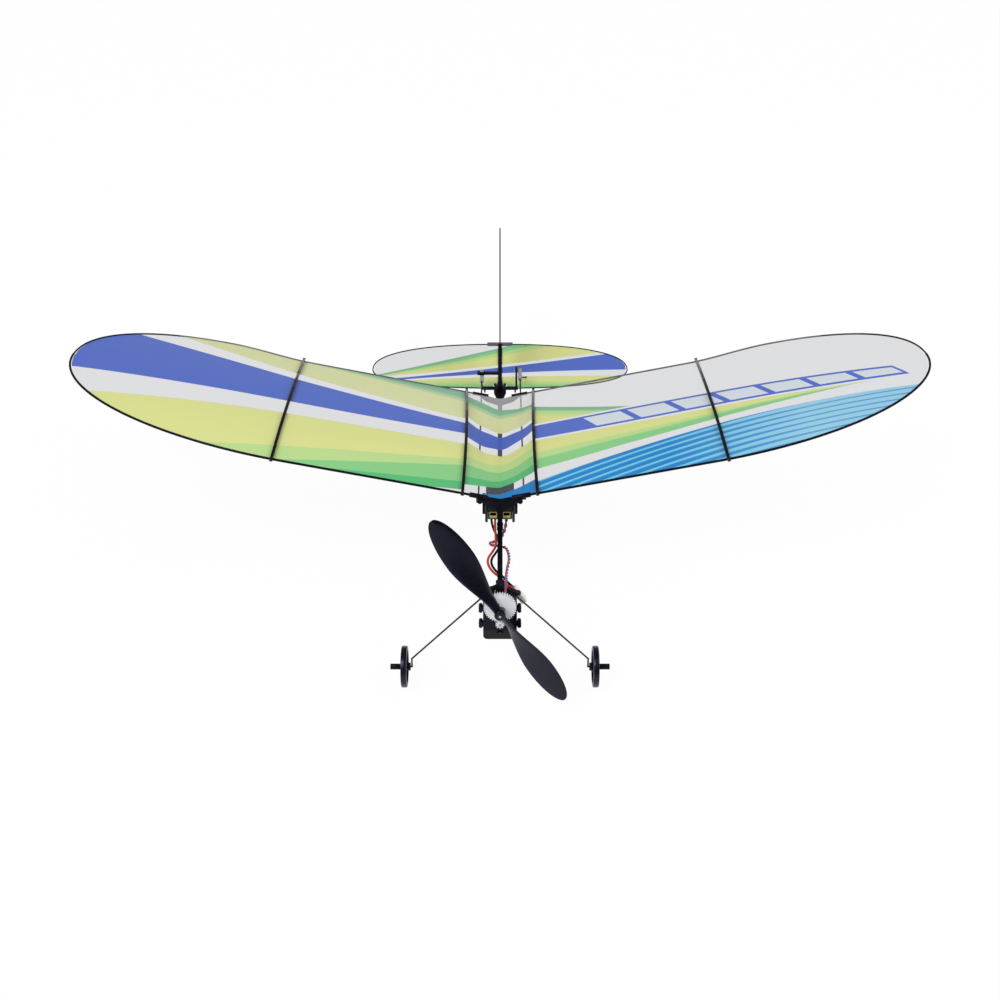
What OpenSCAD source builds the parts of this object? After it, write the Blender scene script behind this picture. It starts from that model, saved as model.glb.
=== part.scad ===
// Ultralight electric indoor plane: a film wing on rods and ribs, a geared propeller,
// spoked wheels on wire legs, and a tail whose two surfaces are worked by pushrods.
// Each sub-part is drawn with the boom level: X to the side, Y towards the tail, Z up, all
// counted from the boom's axis below the wing's leading edge. stand() then sets the plane
// on its wheels and its tail block, the way it stands on a floor. Sizes are millimetres.

/* [Wing] */
// Length of one wing panel, from the middle to its tip
panel_len = 185; // [175:1:200]
// Chord of the straight inner part
wing_chord = 104.5; // [98:0.5:112]
// How far the trailing edge swings back before the tip
tip_sweep = 5.5; // [2:0.5:8]
// Where the tip's outermost point lies, behind the leading edge
tip_aft = 66; // [60:1:72]
// Where the straight leading edge turns into the tip's curve
straight_len = 87; // [80:1:95]
// Angle at which each panel rises
dihedral = 11.5; // [9:0.5:14]
// Angle at which the leading edge is raised
incidence = 1.6; // [0.5:0.1:2.5]
// Height of the ribs' arch
camber = 4; // [2:0.5:5]
// Height of the leading edge above the boom's axis, at the middle
wing_height = 12; // [11.8:0.1:13]
// Diameter of the leading edge rod
le_rod_d = 1; // [0.9:0.1:1.4]
// Diameter of the trailing edge rod
te_rod_d = 0.76; // [0.6:0.02:0.9]
// Thickness of the film
film_t = 0.25; // [0.2:0.05:0.4]
// How far the loose film hangs between the inner ribs
film_sag = 5.5; // [4:0.25:6]
// Width of a rib
rib_w = 1.2; // [1:0.1:2]
// Height of a rib
rib_h = 1.2; // [1.1:0.1:1.6]
// Place of the inner rib along its panel
inner_rib = 15.3; // [14.5:0.1:18]
// Place of the outer rib along its panel
outer_rib = 91; // [88:1:100]

/* [Boom] */
// Width of the square boom
boom_w = 2; // [1.8:0.1:2.1]
// How far the boom reaches ahead of the wing's leading edge
boom_nose = 46; // [44:0.5:50]
// Place of the rudder's pivot behind the leading edge
rudder_at = 132; // [126:0.5:140]

/* [Power unit] */
// Diameter of the propeller
prop_d = 91; // [80:1:93]
// Advance of the propeller in one turn
prop_pitch = 56; // [45:1:60]
// Widest chord of a blade
blade_w = 11; // [10:0.5:13]
// Angle of the blades from upright, at rest
prop_turn = 32; // [0:0.5:45]
// Depth of the propeller's axis below the boom's axis
shaft_drop = 3; // [2.9:0.1:3.4]
// Diameter of the propeller's shaft
shaft_d = 1; // [0.8:0.1:1.1]
// Teeth of the large gear
gear_teeth = 38; // [34:1:42]
// Teeth of the pinion
pinion_teeth = 9; // [9:1:11]
// Module of the teeth
tooth_module = 0.3; // [0.28:0.01:0.32]
// Thickness of the large gear
gear_t = 2; // [1.5:0.1:2.2]
// Diameter of the motor
motor_d = 7; // [6:0.1:7.4]
// Length of the motor's can
motor_len = 16; // [14:0.5:20]
// Width of the gearbox
gearbox_w = 12.6; // [12:0.1:14]
// Length of the gearbox body
gearbox_len = 15.4; // [15:0.1:15.7]
// Depth of the gearbox's underside below the boom's axis
gearbox_drop = 19.4; // [18.5:0.1:21]

/* [Landing gear] */
// Diameter of a wheel
wheel_d = 16.2; // [15:0.1:18]
// Width of a wheel's rim
wheel_w = 2.3; // [2:0.1:3]
// Distance between the middles of the two wheels
track = 74.2; // [70:0.2:90]
// Depth of the axles below the boom's axis
axle_drop = 40; // [38:0.1:44]
// How far the axles lie ahead of the wing's leading edge
axle_ahead = 40; // [37:0.5:42]
// Diameter of the leg wire
leg_d = 0.7; // [0.6:0.05:0.8]
// Spokes of a wheel
spokes = 6; // [4:1:8]

/* [Tail] */
// Half of the elevator's span
elevator_half = 63.2; // [55:0.2:70]
// Chord of the elevator
elevator_chord = 45; // [40:0.5:46]
// Angle of the elevator above the boom, at rest
elevator_rest = 6; // [6:0.5:8]
// Largest turn of the elevator each way
elevator_turn = 20; // [10:1:20]
// Height of the elevator's horn, hinge to pin
elevator_arm = 9; // [8.5:0.1:9.5]
// Highest point of the fin above the boom's axis
fin_top = 73; // [65:0.5:80]
// How far the fin reaches behind its pivot
fin_len = 46; // [43:0.5:50]
// Largest turn of the rudder each way
rudder_turn = 25; // [15:1:25]
// Length of the rudder's arm, pivot to pin
rudder_arm = 8.7; // [8:0.1:10]
// Diameter of the tail's rods
tail_rod_d = 0.6; // [0.5:0.1:0.9]
// Diameter of the pushrods
pushrod_d = 0.7; // [0.5:0.05:0.9]

/* [Receiver] */
// Width of the receiver's case
receiver_w = 11.4; // [10.3:0.1:12]
// Length of the case
receiver_len = 18; // [17.6:0.2:24]
// Height of the case above the boom
receiver_h = 7.7; // [7:0.1:7.8]
// Wall of the case
receiver_wall = 0.8; // [0.6:0.05:0.9]

/* [Hidden] */
$fn = 32;

// Clearances
fit = 0.05;        // round and square pieces in their seats
glue_gap = 0.05;   // film and strips beside what they are glued to
film_gap = 0.2;    // film edges beside the bent rods
side_gap = 0.2;    // moving pieces beside fixed ones

// Wing details
le_rod_r = le_rod_d / 2;
te_rod_r = te_rod_d / 2;
tip_power = 2.3;
te_turn = straight_len + 37.5;
te_span = panel_len - te_turn;
tip_back = wing_chord + tip_sweep - tip_aft;
rib_lift = film_t / 2 + glue_gap / 2;
rib_nose = 2.4;
rib_tail = 1;
rib_nub_r = 0.6;
crest = 0.4;
le_socket_d = le_rod_d + 1;
te_socket_d = te_rod_d + 0.8;
socket_in = 4.9;
socket_out = 12.3;
rod_root = socket_in + 0.2;
boss_at = 8;
boss_d = 2.1;
boss_drop = 1.75;
post_w = 2;
mount_t = 2;
sleeve_wall = 0.25;
tan_rise = tan(dihedral);
te_y = wing_chord * cos(incidence);
te_z = wing_height - wing_chord * sin(incidence);

// Gearbox stations along Y, from the nose back
gearbox_back = -36;
gearbox_front = gearbox_back - gearbox_len;
plate_t = 1.8;
plate_front = gearbox_front - plate_t;
flange_t = 0.3;
flange_d = 3.2;
bearing_d = 2.6;
gear_back = plate_front - flange_t - side_gap;
gear_front = gear_back - gear_t;
pinion_ahead = 0.5;
prop_plane = gear_front - 3.4;
hub_d = 4.2;
hub_half = 2;
shaft_tip = prop_plane - hub_half - 0.3;
block_t = 4.4;
pocket_w = 6.4;
pocket_drop = 5.5;
rear_bearing_len = 2.4;
gearbox_top = -1.6;
barrel_wall = 0.95;
nose_seat = gearbox_front + block_t;
sleeve_back = nose_seat + 3.8;
gearbox_round = 1.6;
gear_r = gear_teeth * tooth_module / 2;
pinion_r = pinion_teeth * tooth_module / 2;
mesh_slack = 0;
motor_drop = shaft_drop + gear_r + pinion_r + mesh_slack;
motor_shaft_d = 0.8;
motor_front = gearbox_front + fit;
motor_back = motor_front + motor_len;
clip_r = 0.75;
clip_at = gearbox_w / 2 + 0.1 + clip_r;
clip_heights = [-shaft_drop - 2, -shaft_drop - 8.7];

// Legs and wheels
leg_y = -boom_nose;
leg_ball_d = 2.3;
leg_ball = [6.7, leg_y, -2.4];
leg_root = [4.6, leg_y, -2.2];
wheel_x = track / 2;
hub_in = wheel_x - 2.4;
hub_out = wheel_x + 1.5;
leg_x = hub_in - side_gap - leg_d / 2;
knee = [leg_x, -axle_ahead - 0.6, 4.1 - axle_drop];
axle = [leg_x, -axle_ahead, -axle_drop];
stop_len = 3.8;
stop_d = 2.3;
wheel_hub_d = 3.2;
rim_t = 1.5;
spoke_w = 1;
spoke_t = 1.1;

// Tail stations
boom_tail = rudder_at - 2.6;
hinge = [0, rudder_at + 3.5, 0.3];
bar_r = 0.9;
bar_half = 8.7;
block_low = -6;
block_back = hinge.y + 2.5;
cheek_in = 1.75;
cheek_out = 2.95;
cheek_top = hinge.z + 1.5;
heel_half = 1.2;
tail_rod_r = tail_rod_d / 2;
elevator_power = 2.3;
elevator_front = 19.5;
spine_w = 2;
spine_t = 0.6;
spine_lift = film_t / 2 + glue_gap;
boss_end = 3.2;
film_notch = [cheek_out + 0.45, norm([block_back - hinge.y, cheek_top - hinge.z]) + 0.2];
rear_bar_half = 6.5;
rear_bar_w = 1.6;
horn_x = 7.9;
horn_t = 0.9;
horn_top = elevator_arm / cos(elevator_turn) + 1.3;
link_pin_d = 0.8;
link_slack = 0.2;
post_t = 1.4;
post_l = 1.8;
post_low = 3;
post_top = 24.6;
pin_d = 1;
arm_z = 9.75;
arm_t = 1.2;
bow_low = 11.5;
fin_aft = 22;
fin_mid = [rudder_at + fin_len - fin_aft, 46];
fin_under = 24;
fin_power = 3;
fin_end_angle = -65;
fin_front = rudder_at + post_l / 2 + glue_gap;

// Receiver and linkage
receiver_front = 2;
receiver_back = receiver_front + receiver_len;
receiver_low = boom_w / 2 + 0.9;
receiver_top = receiver_low + receiver_h;
board_t = 0.8;
servo_d = 4;
servo_len = 8;
slider_t = 1.2;
slider_len = 4;
slider_low = receiver_low - 0.2;
slider_h = 7.6;
foot_len = 2;
foot_h = 1.2;
lug_h = 2;
rudder_travel = rudder_arm * tan(rudder_turn);
elevator_travel = elevator_arm * tan(elevator_turn);
slider_y = receiver_front + receiver_wall + rudder_travel + foot_len / 2 + 1.1;
slider_x = receiver_w / 2 + side_gap + slider_t / 2;
link_gap = 0.3;
connector_d = 1.9;
connector_len = 11.5;
rudder_pin_at = [-rudder_arm, rudder_at, arm_z - arm_t / 2 - link_gap - connector_d / 2];
elevator_pin_at = [
    horn_x + horn_t / 2 + link_gap + connector_d / 2, hinge.y, hinge.z + elevator_arm
];
rudder_pin_up = arm_z + arm_t / 2 - rudder_pin_at.z + link_gap;
elevator_pin_up = elevator_pin_at.x - horn_x + horn_t / 2 + link_gap;
rudder_back = 5.5;     // how far each connector reaches behind its pin
elevator_back = 1.5;

// Plug and wires
plug_size = [2.2, 3, 7];
plug_tilt = 37.7;
plug_top = [4.97, -42, -2.84];
battery_wire_d = 0.95;
motor_pair_d = 1.3;
red_route = [
    [-1.9, 3.6, receiver_low], [-1.95, 3.3, 1], [-2, 2.4, 0.2], [-2, 0.8, -0.5], [-1.95, -1, -1],
    [-1.75, -4, -1.2], [-1.7, -7, -1.3], [-1.65, -10, -1.3], [-1.8, -14, -1.2], [-3, -18.5, -1],
    [-4.4, -23, -0.8], [-4.7, -26.5, -0.8], [-4.1, -29.6, -1], [-2.6, -32.6, -1.5], [-0.7, -35, -1.8],
    [0.9, -37.6, -1.9], [2.1, -40.3, -2.05], [3.3, -41.8, -2], [4.3, -42.4, -2.1], [4.97, -42.5, -2.84]
];
black_route = [
    [-3.5, 3.6, receiver_low], [-3.4, 3.3, 0.8], [-3.1, 2.3, -0.6], [-2.5, 0.6, -1.8], [-1.8, -1.4, -2.4],
    [-1.1, -4, -2.3], [-0.7, -7, -2], [-0.6, -9.5, -1.85], [-0.5, -14, -1.7], [-1.7, -18.5, -1.5],
    [-3.1, -23, -1.3], [-3.3, -26.3, -1.3], [-2.6, -29.2, -1.5], [-1.2, -31.6, -2], [0.6, -34, -2.2],
    [2, -36.6, -2.2], [3.1, -39.2, -2.1], [3.9, -40.7, -2.05], [4.45, -41.4, -2.15], [4.97, -41.5, -2.84]
];
motor_route = [
    [2.6, 3.6, receiver_low], [2.55, 3.3, 0.9], [2.35, 2.3, -0.3], [2.1, 0.7, -1.3], [1.5, -1.1, -2.2],
    [0.5, -3.3, -3.1], [-0.9, -5.1, -3.5], [-2.4, -6.3, -3.5], [-3.6, -7.2, -3.3], [-4, -8.3, -3.1],
    [-3.5, -9.4, -3], [-2.2, -9.9, -3.1], [-0.4, -10.2, -3.2], [1.2, -11.2, -2.9], [2.2, -13.2, -2.2],
    [2.9, -16, -1.6], [3.4, -20.5, -1], [3.5, -25.5, -0.6], [2.9, -31, -0.4], [2.6, -35, 0],
    [2.4, -39, 0.6], [2.4, -42, 1.2], [2.4, -45, 1.9], [2.2, -47.3, 1.2], [2, -48.8, -0.4],
    [2, -49.2, -1.8], [2, -49.2, -3.6], [2, -49.2, -pocket_drop]
];

// Blade stations, as shares of the way from the hub to the tip
blade_root = 1.2;
blade_shares = [0, 0.06, 0.14, 0.24, 0.36, 0.48, 0.6, 0.72, 0.82, 0.9, 0.95, 0.985, 1];

// Stance: pitch and lift that bring the wheels and the tail block onto the floor
stance_rise = axle_drop + block_low;
stance_run = block_back + axle_ahead;
pitch = atan2(stance_rise, stance_run) + asin(wheel_d / 2 / norm([stance_rise, stance_run]));
floor_lift = block_back * sin(pitch) - block_low * cos(pitch);
function stood_y(p) = p.y * cos(pitch) + p.z * sin(pitch);
row_back = max([for (p = fin_edge(0)) stood_y([0, p.x, p.y])]) + tail_rod_r;
row_front = min([
    for (i = [0:len(blade_shares) - 1]) for (q = blade_ring(i))
        stood_y(prop_point([-q.x, q.y, -q.z]))
]);
row_mid = (row_back + row_front) / 2;

module stand()
    translate([0, -row_mid, floor_lift])
        rotate([-pitch, 0, 0])
            children();

module sided(side) {
    if (side < 0)
        mirror([1, 0, 0]) children();
    else
        children();
}

// One wing panel's own frame: X along the panel, Y along the chord, Z square to the film
module panel(side)
    sided(side)
        translate([0, 0, wing_height])
            rotate([-incidence, -dihedral, 0])
                children();

// Bars and outlines laid along an axis
module bar_x(x0, x1, d)
    translate([x0, 0, 0])
        rotate([0, 90, 0])
            cylinder(h = x1 - x0, d = d);

module bar_y(y0, y1, d)
    translate([0, y1, 0])
        rotate([90, 0, 0])
            cylinder(h = y1 - y0, d = d);

module extrude_y(y0, y1)
    translate([0, y1, 0])
        rotate([90, 0, 0])
            linear_extrude(y1 - y0)
                children();

module extrude_x(x0, x1)
    translate([x0, 0, 0])
        rotate([90, 0, 90])
            linear_extrude(x1 - x0)
                children();

// A frame at a whose Z points towards b
module aimed(a, b) {
    v = b - a;
    translate(a)
        rotate([0, acos(v.z / norm(v)), atan2(v.y, v.x)])
            children();
}

module rod(a, b, d)
    aimed(a, b)
        cylinder(h = norm(b - a), d = d);

module box(x, y, z)
    translate([x[0], y[0], z[0]])
        cube([x[1] - x[0], y[1] - y[0], z[1] - z[0]]);

module rounded(w, h, r) {
    square([w - 2 * r, h], center = true);
    square([w, h - 2 * r], center = true);
    for (x = [-1, 1], y = [-1, 1])
        translate([x * (w / 2 - r), y * (h / 2 - r)])
            circle(r);
}

// Swept solids: rings of points joined by triangles, with flat ends
function unit(v) = v / norm(v);
function tangents(p) = [
    for (i = [0:len(p) - 1]) unit(p[min(i + 1, len(p) - 1)] - p[max(i - 1, 0)])
];
function carried(t, i) = i == 0
    ? [unit(cross(t[0], abs(t[0].z) < 0.8 ? [0, 0, 1] : [0, 1, 0]))]
    : let (before = carried(t, i - 1), n = before[i - 1])
        concat(before, [unit(n - (n * t[i]) * t[i])]);

module loft(rings, strip_ends = false) {
    count = len(rings[0]);
    last = len(rings) - 1;
    sides = [
        for (i = [0:last - 1]) for (j = [0:count - 1])
            let (k = (j + 1) % count, a = i * count, b = a + count)
                each [[a + j, b + j, b + k], [a + j, b + k, a + k]]
    ];
    half = count / 2;
    ends = strip_ends
        ? [for (j = [0:half - 2])
            let (k = count - 1 - j, e = last * count)
                each [[j, j + 1, k - 1], [j, k - 1, k],
                    [e + k - 1, e + j + 1, e + j], [e + k, e + k - 1, e + j]]]
        : [[for (j = [0:count - 1]) j], [for (j = [count - 1:-1:0]) last * count + j]];
    polyhedron(points = [for (r = rings) each r], faces = concat(sides, ends));
}

module tube(route, d, sides = 8) {
    t = tangents(route);
    n = carried(t, len(t) - 1);
    loft([
        for (i = [0:len(route) - 1])
            [for (j = [0:sides - 1])
                let (a = 360 * j / sides)
                    route[i] + d / 2 * (cos(a) * n[i] + sin(a) * cross(t[i], n[i]))]
    ]);
}

// Wing outline: the place of each edge along the chord, drawn in by an inset
function ramp(x) = x * x * (3 - 2 * x);
function lead_edge(u, inset) = u <= straight_len
    ? inset
    : tip_aft - (tip_aft - inset)
        * sqrt(max(0, 1 - pow((u - straight_len) / (panel_len - straight_len - inset), 2)));
function trail_edge(u, inset) =
    u <= straight_len ? wing_chord - inset
    : u <= te_turn
        ? wing_chord - inset + tip_sweep * ramp((u - straight_len) / (te_turn - straight_len))
        : tip_aft + (tip_back - inset)
            * pow(max(0, 1 - pow((u - te_turn) / (te_span - inset), tip_power)), 1 / tip_power);
function arch(f) = 1 - pow((f - crest) / (f < crest ? crest : 1 - crest), 2);
function fade(u) = u <= outer_rib ? 1 : 1 - pow((u - outer_rib) / (panel_len - outer_rib), 2);

lead_path = concat(
    [[rod_root, 0, 0]],
    [for (a = [0:5:90])
        [straight_len + (panel_len - straight_len) * sin(a), tip_aft - tip_aft * cos(a), 0]]
);
trail_path = concat(
    [[rod_root, wing_chord, 0]],
    [for (k = [0:0.125:0.875])
        let (u = straight_len + k * (te_turn - straight_len)) [u, trail_edge(u, 0), 0]],
    [for (a = [0:5:85])
        [te_turn + te_span * pow(sin(a), 2 / tip_power),
         tip_aft + tip_back * pow(cos(a), 2 / tip_power), 0]],
    [[panel_len, tip_aft + side_gap, 0]]
);

chord_steps = 10;

// One closed section of film at station u: top from the back, then bottom from the front
function film_ring(u, lead, trail, height) =
    let (run = trail - lead)
        concat(
            [for (i = [chord_steps:-1:0]) let (f = i / chord_steps)
                [u, lead + f * run, height[i] + film_t / 2]],
            [for (i = [0:chord_steps]) let (f = i / chord_steps)
                [u, lead + f * run, height[i] - film_t / 2]]
        );

module wing_film(side) {
    le_in = le_rod_r + film_gap;
    te_in = te_rod_r + film_gap;
    last = panel_len - le_in - glue_gap;
    root = inner_rib + glue_gap;
    inner = [for (k = [0:0.25:1]) root + k * (straight_len - root)];
    bend = [for (k = [0.125:0.125:1]) straight_len + k * (te_turn - straight_len)];
    tip = [for (a = [10:10:80]) te_turn + (last - te_turn) * sin(a)];
    color("lightyellow")
        panel(side)
            loft([
                for (u = concat(inner, bend, tip, [last]))
                    film_ring(u, lead_edge(u, le_in), trail_edge(u, te_in),
                        [for (i = [0:chord_steps]) camber * fade(u) * arch(i / chord_steps)])
            ]);
}

// A point of the panel on the +X side, in the level frame
function panel_point(u, t, n) =
    let (z = n * cos(incidence) - t * sin(incidence))
        [u * cos(dihedral) - z * sin(dihedral),
         t * cos(incidence) + n * sin(incidence),
         u * sin(dihedral) + z * cos(dihedral)];

// The loose film between the inner ribs: a V from rib to rib that hangs in the middle
module centre_wing_film() {
    lead = le_socket_d / 2 + glue_gap;
    run = wing_chord - te_socket_d / 2 - glue_gap - lead;
    shares = [for (i = [0:chord_steps]) i / chord_steps];
    rib_side = [for (f = shares) panel_point(inner_rib - glue_gap, lead + f * run, camber * arch(f))];
    middle = [for (i = [0:chord_steps]) rib_side[i].z - rib_side[i].x * tan_rise];
    hang = [for (f = shares) film_sag * 4 * f * (1 - f)];
    color("gainsboro")
        translate([0, 0, wing_height])
            loft([
                for (k = [-1:0.2:1])
                    let (row = [for (i = [0:chord_steps])
                        [k * rib_side[i].x, rib_side[i].y,
                         middle[i] + abs(k) * rib_side[i].x * tan_rise - hang[i] * (1 - k * k)]])
                        concat(
                            [for (i = [chord_steps:-1:0]) row[i] + [0, 0, film_t / 2]],
                            [for (i = [0:chord_steps]) row[i] - [0, 0, film_t / 2]]
                        )
            ], strip_ends = true);
}

module rib(side, u) {
    back = trail_edge(u, 0);
    under = [for (i = [0:chord_steps]) let (f = i / chord_steps) [f * back, rib_lift + camber * arch(f)]];
    over = [for (i = [chord_steps:-1:0]) under[i] + [0, rib_h]];
    color("black")
        panel(side)
            difference() {
                union() {
                    extrude_x(u - rib_w / 2, u + rib_w / 2)
                        polygon(concat(
                            [[-rib_nose, rib_lift]], under, [[back + rib_tail, rib_lift]],
                            [[back + rib_tail, rib_lift + rib_h]], over, [[-rib_nose, rib_lift + rib_h]]
                        ));
                    translate([0, -rib_nose, rib_lift + rib_nub_r])
                        bar_x(u - rib_w / 2, u + rib_w / 2, 2 * rib_nub_r);
                }
                translate([0, lead_edge(u, 0), 0])
                    bar_x(u - rib_w, u + rib_w, le_rod_d + 4 * fit);
                translate([0, back, 0])
                    bar_x(u - rib_w, u + rib_w, te_rod_d + 4 * fit);
            }
}

module leading_edge(side)
    color("black")
        panel(side)
            tube(lead_path, le_rod_d);

module trailing_edge(side)
    color("dimgray")
        panel(side)
            tube(trail_path, te_rod_d);

// A V-shaped bracket with a socket for each panel's rod, on a post that sleeves the boom
module wing_mount(chord_at, rod_d, socket_d, apex, arm_drop) {
    depth = mount_t / 2;
    in_z = socket_in * tan_rise;
    out_z = (boss_at + 1.5) * tan_rise;
    sleeve = boom_w / 2 + fit + sleeve_wall;
    difference() {
        union() {
            translate([0, apex.y, 0])
                extrude_y(-depth, depth) {
                    translate([0, apex.z])
                        polygon([
                            [0, -1.1], [socket_in, in_z - 0.7], [boss_at + 1.5, out_z - 0.6],
                            [socket_in + 1.5, in_z - 2.4], [post_w / 2, -arm_drop],
                            [-post_w / 2, -arm_drop], [-socket_in - 1.5, in_z - 2.4],
                            [-boss_at - 1.5, out_z - 0.6], [-socket_in, in_z - 0.7]
                        ]);
                    translate([-post_w / 2, 0])
                        square([post_w, apex.z - 1.5]);
                }
            box([-sleeve, sleeve], [apex.y - depth, apex.y + depth], [-sleeve, sleeve]);
            for (side = [-1, 1])
                panel(side)
                    translate([0, chord_at, 0])
                        bar_x(socket_in, socket_out, socket_d);
        }
        for (side = [-1, 1])
            panel(side)
                translate([0, chord_at, 0])
                    bar_x(socket_in - 0.5, socket_out + 1, rod_d + 2 * fit);
        box([-boom_w / 2 - fit, boom_w / 2 + fit], [apex.y - mount_t, apex.y + mount_t],
            [-boom_w / 2 - fit, boom_w / 2 + fit]);
    }
}

module front_wing_mount()
    color("black") {
        wing_mount(0, le_rod_d, le_socket_d, [0, 0, wing_height], 4.2);
        for (x = [-1, 1])
            translate([x * boss_at, 0, wing_height + boss_at * tan_rise - boss_drop])
                bar_y(-mount_t / 2 - 0.3, mount_t / 2 - 0.2, boss_d);
    }

module rear_wing_mount()
    color("black")
        wing_mount(wing_chord, te_rod_d, te_socket_d, [0, te_y, te_z], 3.4);

module boom()
    color("black")
        box([-boom_w / 2, boom_w / 2], [-boom_nose, boom_tail], [-boom_w / 2, boom_w / 2]);

// Gearbox
module gearbox_body() {
    sleeve = boom_w / 2 + fit + 0.5;
    seat = boom_w / 2 + fit;
    barrel = motor_d + 2 * barrel_wall;
    color("black")
        difference() {
            union() {
                extrude_y(gearbox_front, nose_seat)
                    translate([0, (gearbox_top - gearbox_drop) / 2])
                        rounded(gearbox_w, gearbox_drop + gearbox_top, gearbox_round);
                extrude_y(nose_seat - 1, gearbox_back)
                    translate([0, -motor_drop])
                        rounded(barrel, barrel, 1.2);
                box([-sleeve, sleeve], [nose_seat - 0.4, sleeve_back], [-motor_drop + motor_d / 2, sleeve]);
                translate([0, 0, -shaft_drop])
                    bar_y(nose_seat - 0.4, sleeve_back, bearing_d + 1.6);
                translate([0, 0, 2.6 - gearbox_drop])
                    bar_y(gearbox_front - 0.8, gearbox_front + 1, 2.2);
                for (side = [-1, 1])
                    sided(side) {
                        rod([0, leg_y, 1], leg_ball, 1.9);
                        for (knob = [leg_ball, leg_root])
                            translate(knob)
                                sphere(d = leg_ball_d);
                    }
            }
            box([-seat, seat], [-boom_nose - fit, gearbox_back], [-seat, seat]);
            box([-pocket_w / 2, pocket_w / 2], [gearbox_front - 1, nose_seat - 0.4], [-pocket_drop, 0]);
            translate([0, 0, -shaft_drop]) {
                bar_y(gearbox_front, nose_seat - 0.4 + rear_bearing_len, bearing_d + 2 * fit);
                bar_y(gearbox_front, sleeve_back - 0.5, shaft_d + 0.6);
            }
            translate([0, 0, -motor_drop])
                bar_y(gearbox_front - 1, gearbox_back + 1, motor_d + 2 * fit);
            for (side = [-1, 1])
                sided(side)
                    rod(leg_root, knee, leg_d + 2 * fit);
        }
}

module gearbox_plate() {
    low = motor_drop + 4.1;
    high = -gearbox_top;
    color("black")
        difference() {
            union() {
                extrude_y(plate_front, gearbox_front)
                    translate([0, -(low + high) / 2])
                        rounded(gearbox_w - 0.2, low - high, 0.8);
                for (side = [-1, 1], z = clip_heights)
                    sided(side) {
                        for (lobe = [-1, 1])
                            translate([clip_at, 0, z + 0.8 * lobe * clip_r])
                                bar_y(plate_front - 0.3, gearbox_front + 0.6, 2 * clip_r);
                        box([gearbox_w / 2 - 1, clip_at], [plate_front, gearbox_front],
                            [z - clip_r, z + clip_r]);
                    }
            }
            translate([0, 0, -shaft_drop])
                bar_y(plate_front - 1, gearbox_front + 1, bearing_d + 2 * fit);
            translate([0, 0, -motor_drop])
                bar_y(plate_front - 1, gearbox_front + 1, 2 * pinion_r + 1.2);
        }
}

module bearing(y0, y1, flange_y0, flange_y1)
    color("goldenrod")
        translate([0, 0, -shaft_drop])
            difference() {
                union() {
                    bar_y(y0, y1, bearing_d);
                    bar_y(flange_y0, flange_y1, flange_d);
                }
                bar_y(y0 - 1, y1 + 1, shaft_d + fit);
            }

module front_bearing()
    bearing(plate_front - flange_t, gearbox_front, plate_front - flange_t, plate_front);

module rear_bearing() {
    seat = nose_seat - 0.4;
    bearing(seat - flange_t, seat + rear_bearing_len, seat - flange_t, seat);
}

module motor_can()
    color("silver")
        translate([0, 0, -motor_drop])
            difference() {
                union() {
                    bar_y(motor_front, motor_back, motor_d);
                    bar_y(motor_front - 0.8, motor_front, 2.2);
                }
                bar_y(motor_front - 2, motor_front + 6, motor_shaft_d + 2 * fit);
            }

module motor_end_cap()
    color("white")
        translate([0, 0, -motor_drop])
            bar_y(motor_back, motor_back + 1.2, motor_d - 0.6);

module motor_shaft()
    color("silver")
        translate([0, 0, -motor_drop])
            bar_y(gear_front - pinion_ahead - 0.3, motor_front + 5.6, motor_shaft_d);

module prop_shaft()
    color("silver")
        translate([0, 0, -shaft_drop])
            bar_y(shaft_tip, nose_seat + rear_bearing_len + 0.6, shaft_d);

// Straight-sided teeth: root and tip widths as shares of the tooth pitch
function gear_outline(teeth, phase) =
    let (r = teeth * tooth_module / 2, step = 360 / teeth)
        [for (i = [0:teeth - 1])
            for (c = [[-0.29, -1.2], [-0.13, 0.9], [0.13, 0.9], [0.29, -1.2]])
                let (a = phase + (i + c[0]) * step, q = r + c[1] * tooth_module)
                    [q * cos(a), q * sin(a)]];

module spur_gear()
    color("white")
        translate([0, 0, -shaft_drop])
            difference() {
                union() {
                    extrude_y(gear_front, gear_back)
                        polygon(gear_outline(gear_teeth, -90));
                    bar_y(prop_plane + hub_half, gear_front, 2.6);
                }
                bar_y(prop_plane, gear_back + 1, shaft_d + fit);
            }

module pinion()
    color("white")
        translate([0, 0, -motor_drop])
            difference() {
                extrude_y(gear_front - pinion_ahead, gear_back)
                    polygon(gear_outline(pinion_teeth, 90 + 180 / pinion_teeth));
                bar_y(gear_front - 1, gear_back + 1, motor_shaft_d + fit);
            }

// Propeller: one blade is a row of thin twisted sections from the hub to the tip
function blade_chord(s) = blade_w * (s < 0.58
    ? 0.34 + 0.66 * ramp(s / 0.58)
    : sqrt(1 - pow((s - 0.58) / 0.425, 2)));
function blade_ring(i) =
    let (s = blade_shares[i],
        r = blade_root + s * (prop_d / 2 - blade_root),
        angle = min(48, atan(prop_pitch / (2 * PI * r))),
        half = blade_chord(s) / 2,
        thick = 1.5 - 0.8 * s)
        [for (k = [0:7])
            let (x = half * cos(45 * k), y = thick / 2 * sin(45 * k))
                [x * cos(angle) - y * sin(angle), x * sin(angle) + y * cos(angle), r]];
function prop_point(q) = [
    0,
    prop_plane + q.y,
    -shaft_drop + q.z * cos(prop_turn) + q.x * sin(prop_turn)
];

module propeller()
    color([0.08, 0.08, 0.1])
        translate([0, prop_plane, -shaft_drop])
            rotate([0, -prop_turn, 0])
                difference() {
                    union() {
                        bar_y(-hub_half, hub_half, hub_d);
                        for (half = [0, 180])
                            rotate([0, half, 0])
                                loft([for (i = [0:len(blade_shares) - 1]) blade_ring(i)]);
                    }
                    bar_y(-2 * hub_half, 2 * hub_half, shaft_d + fit);
                }

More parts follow.
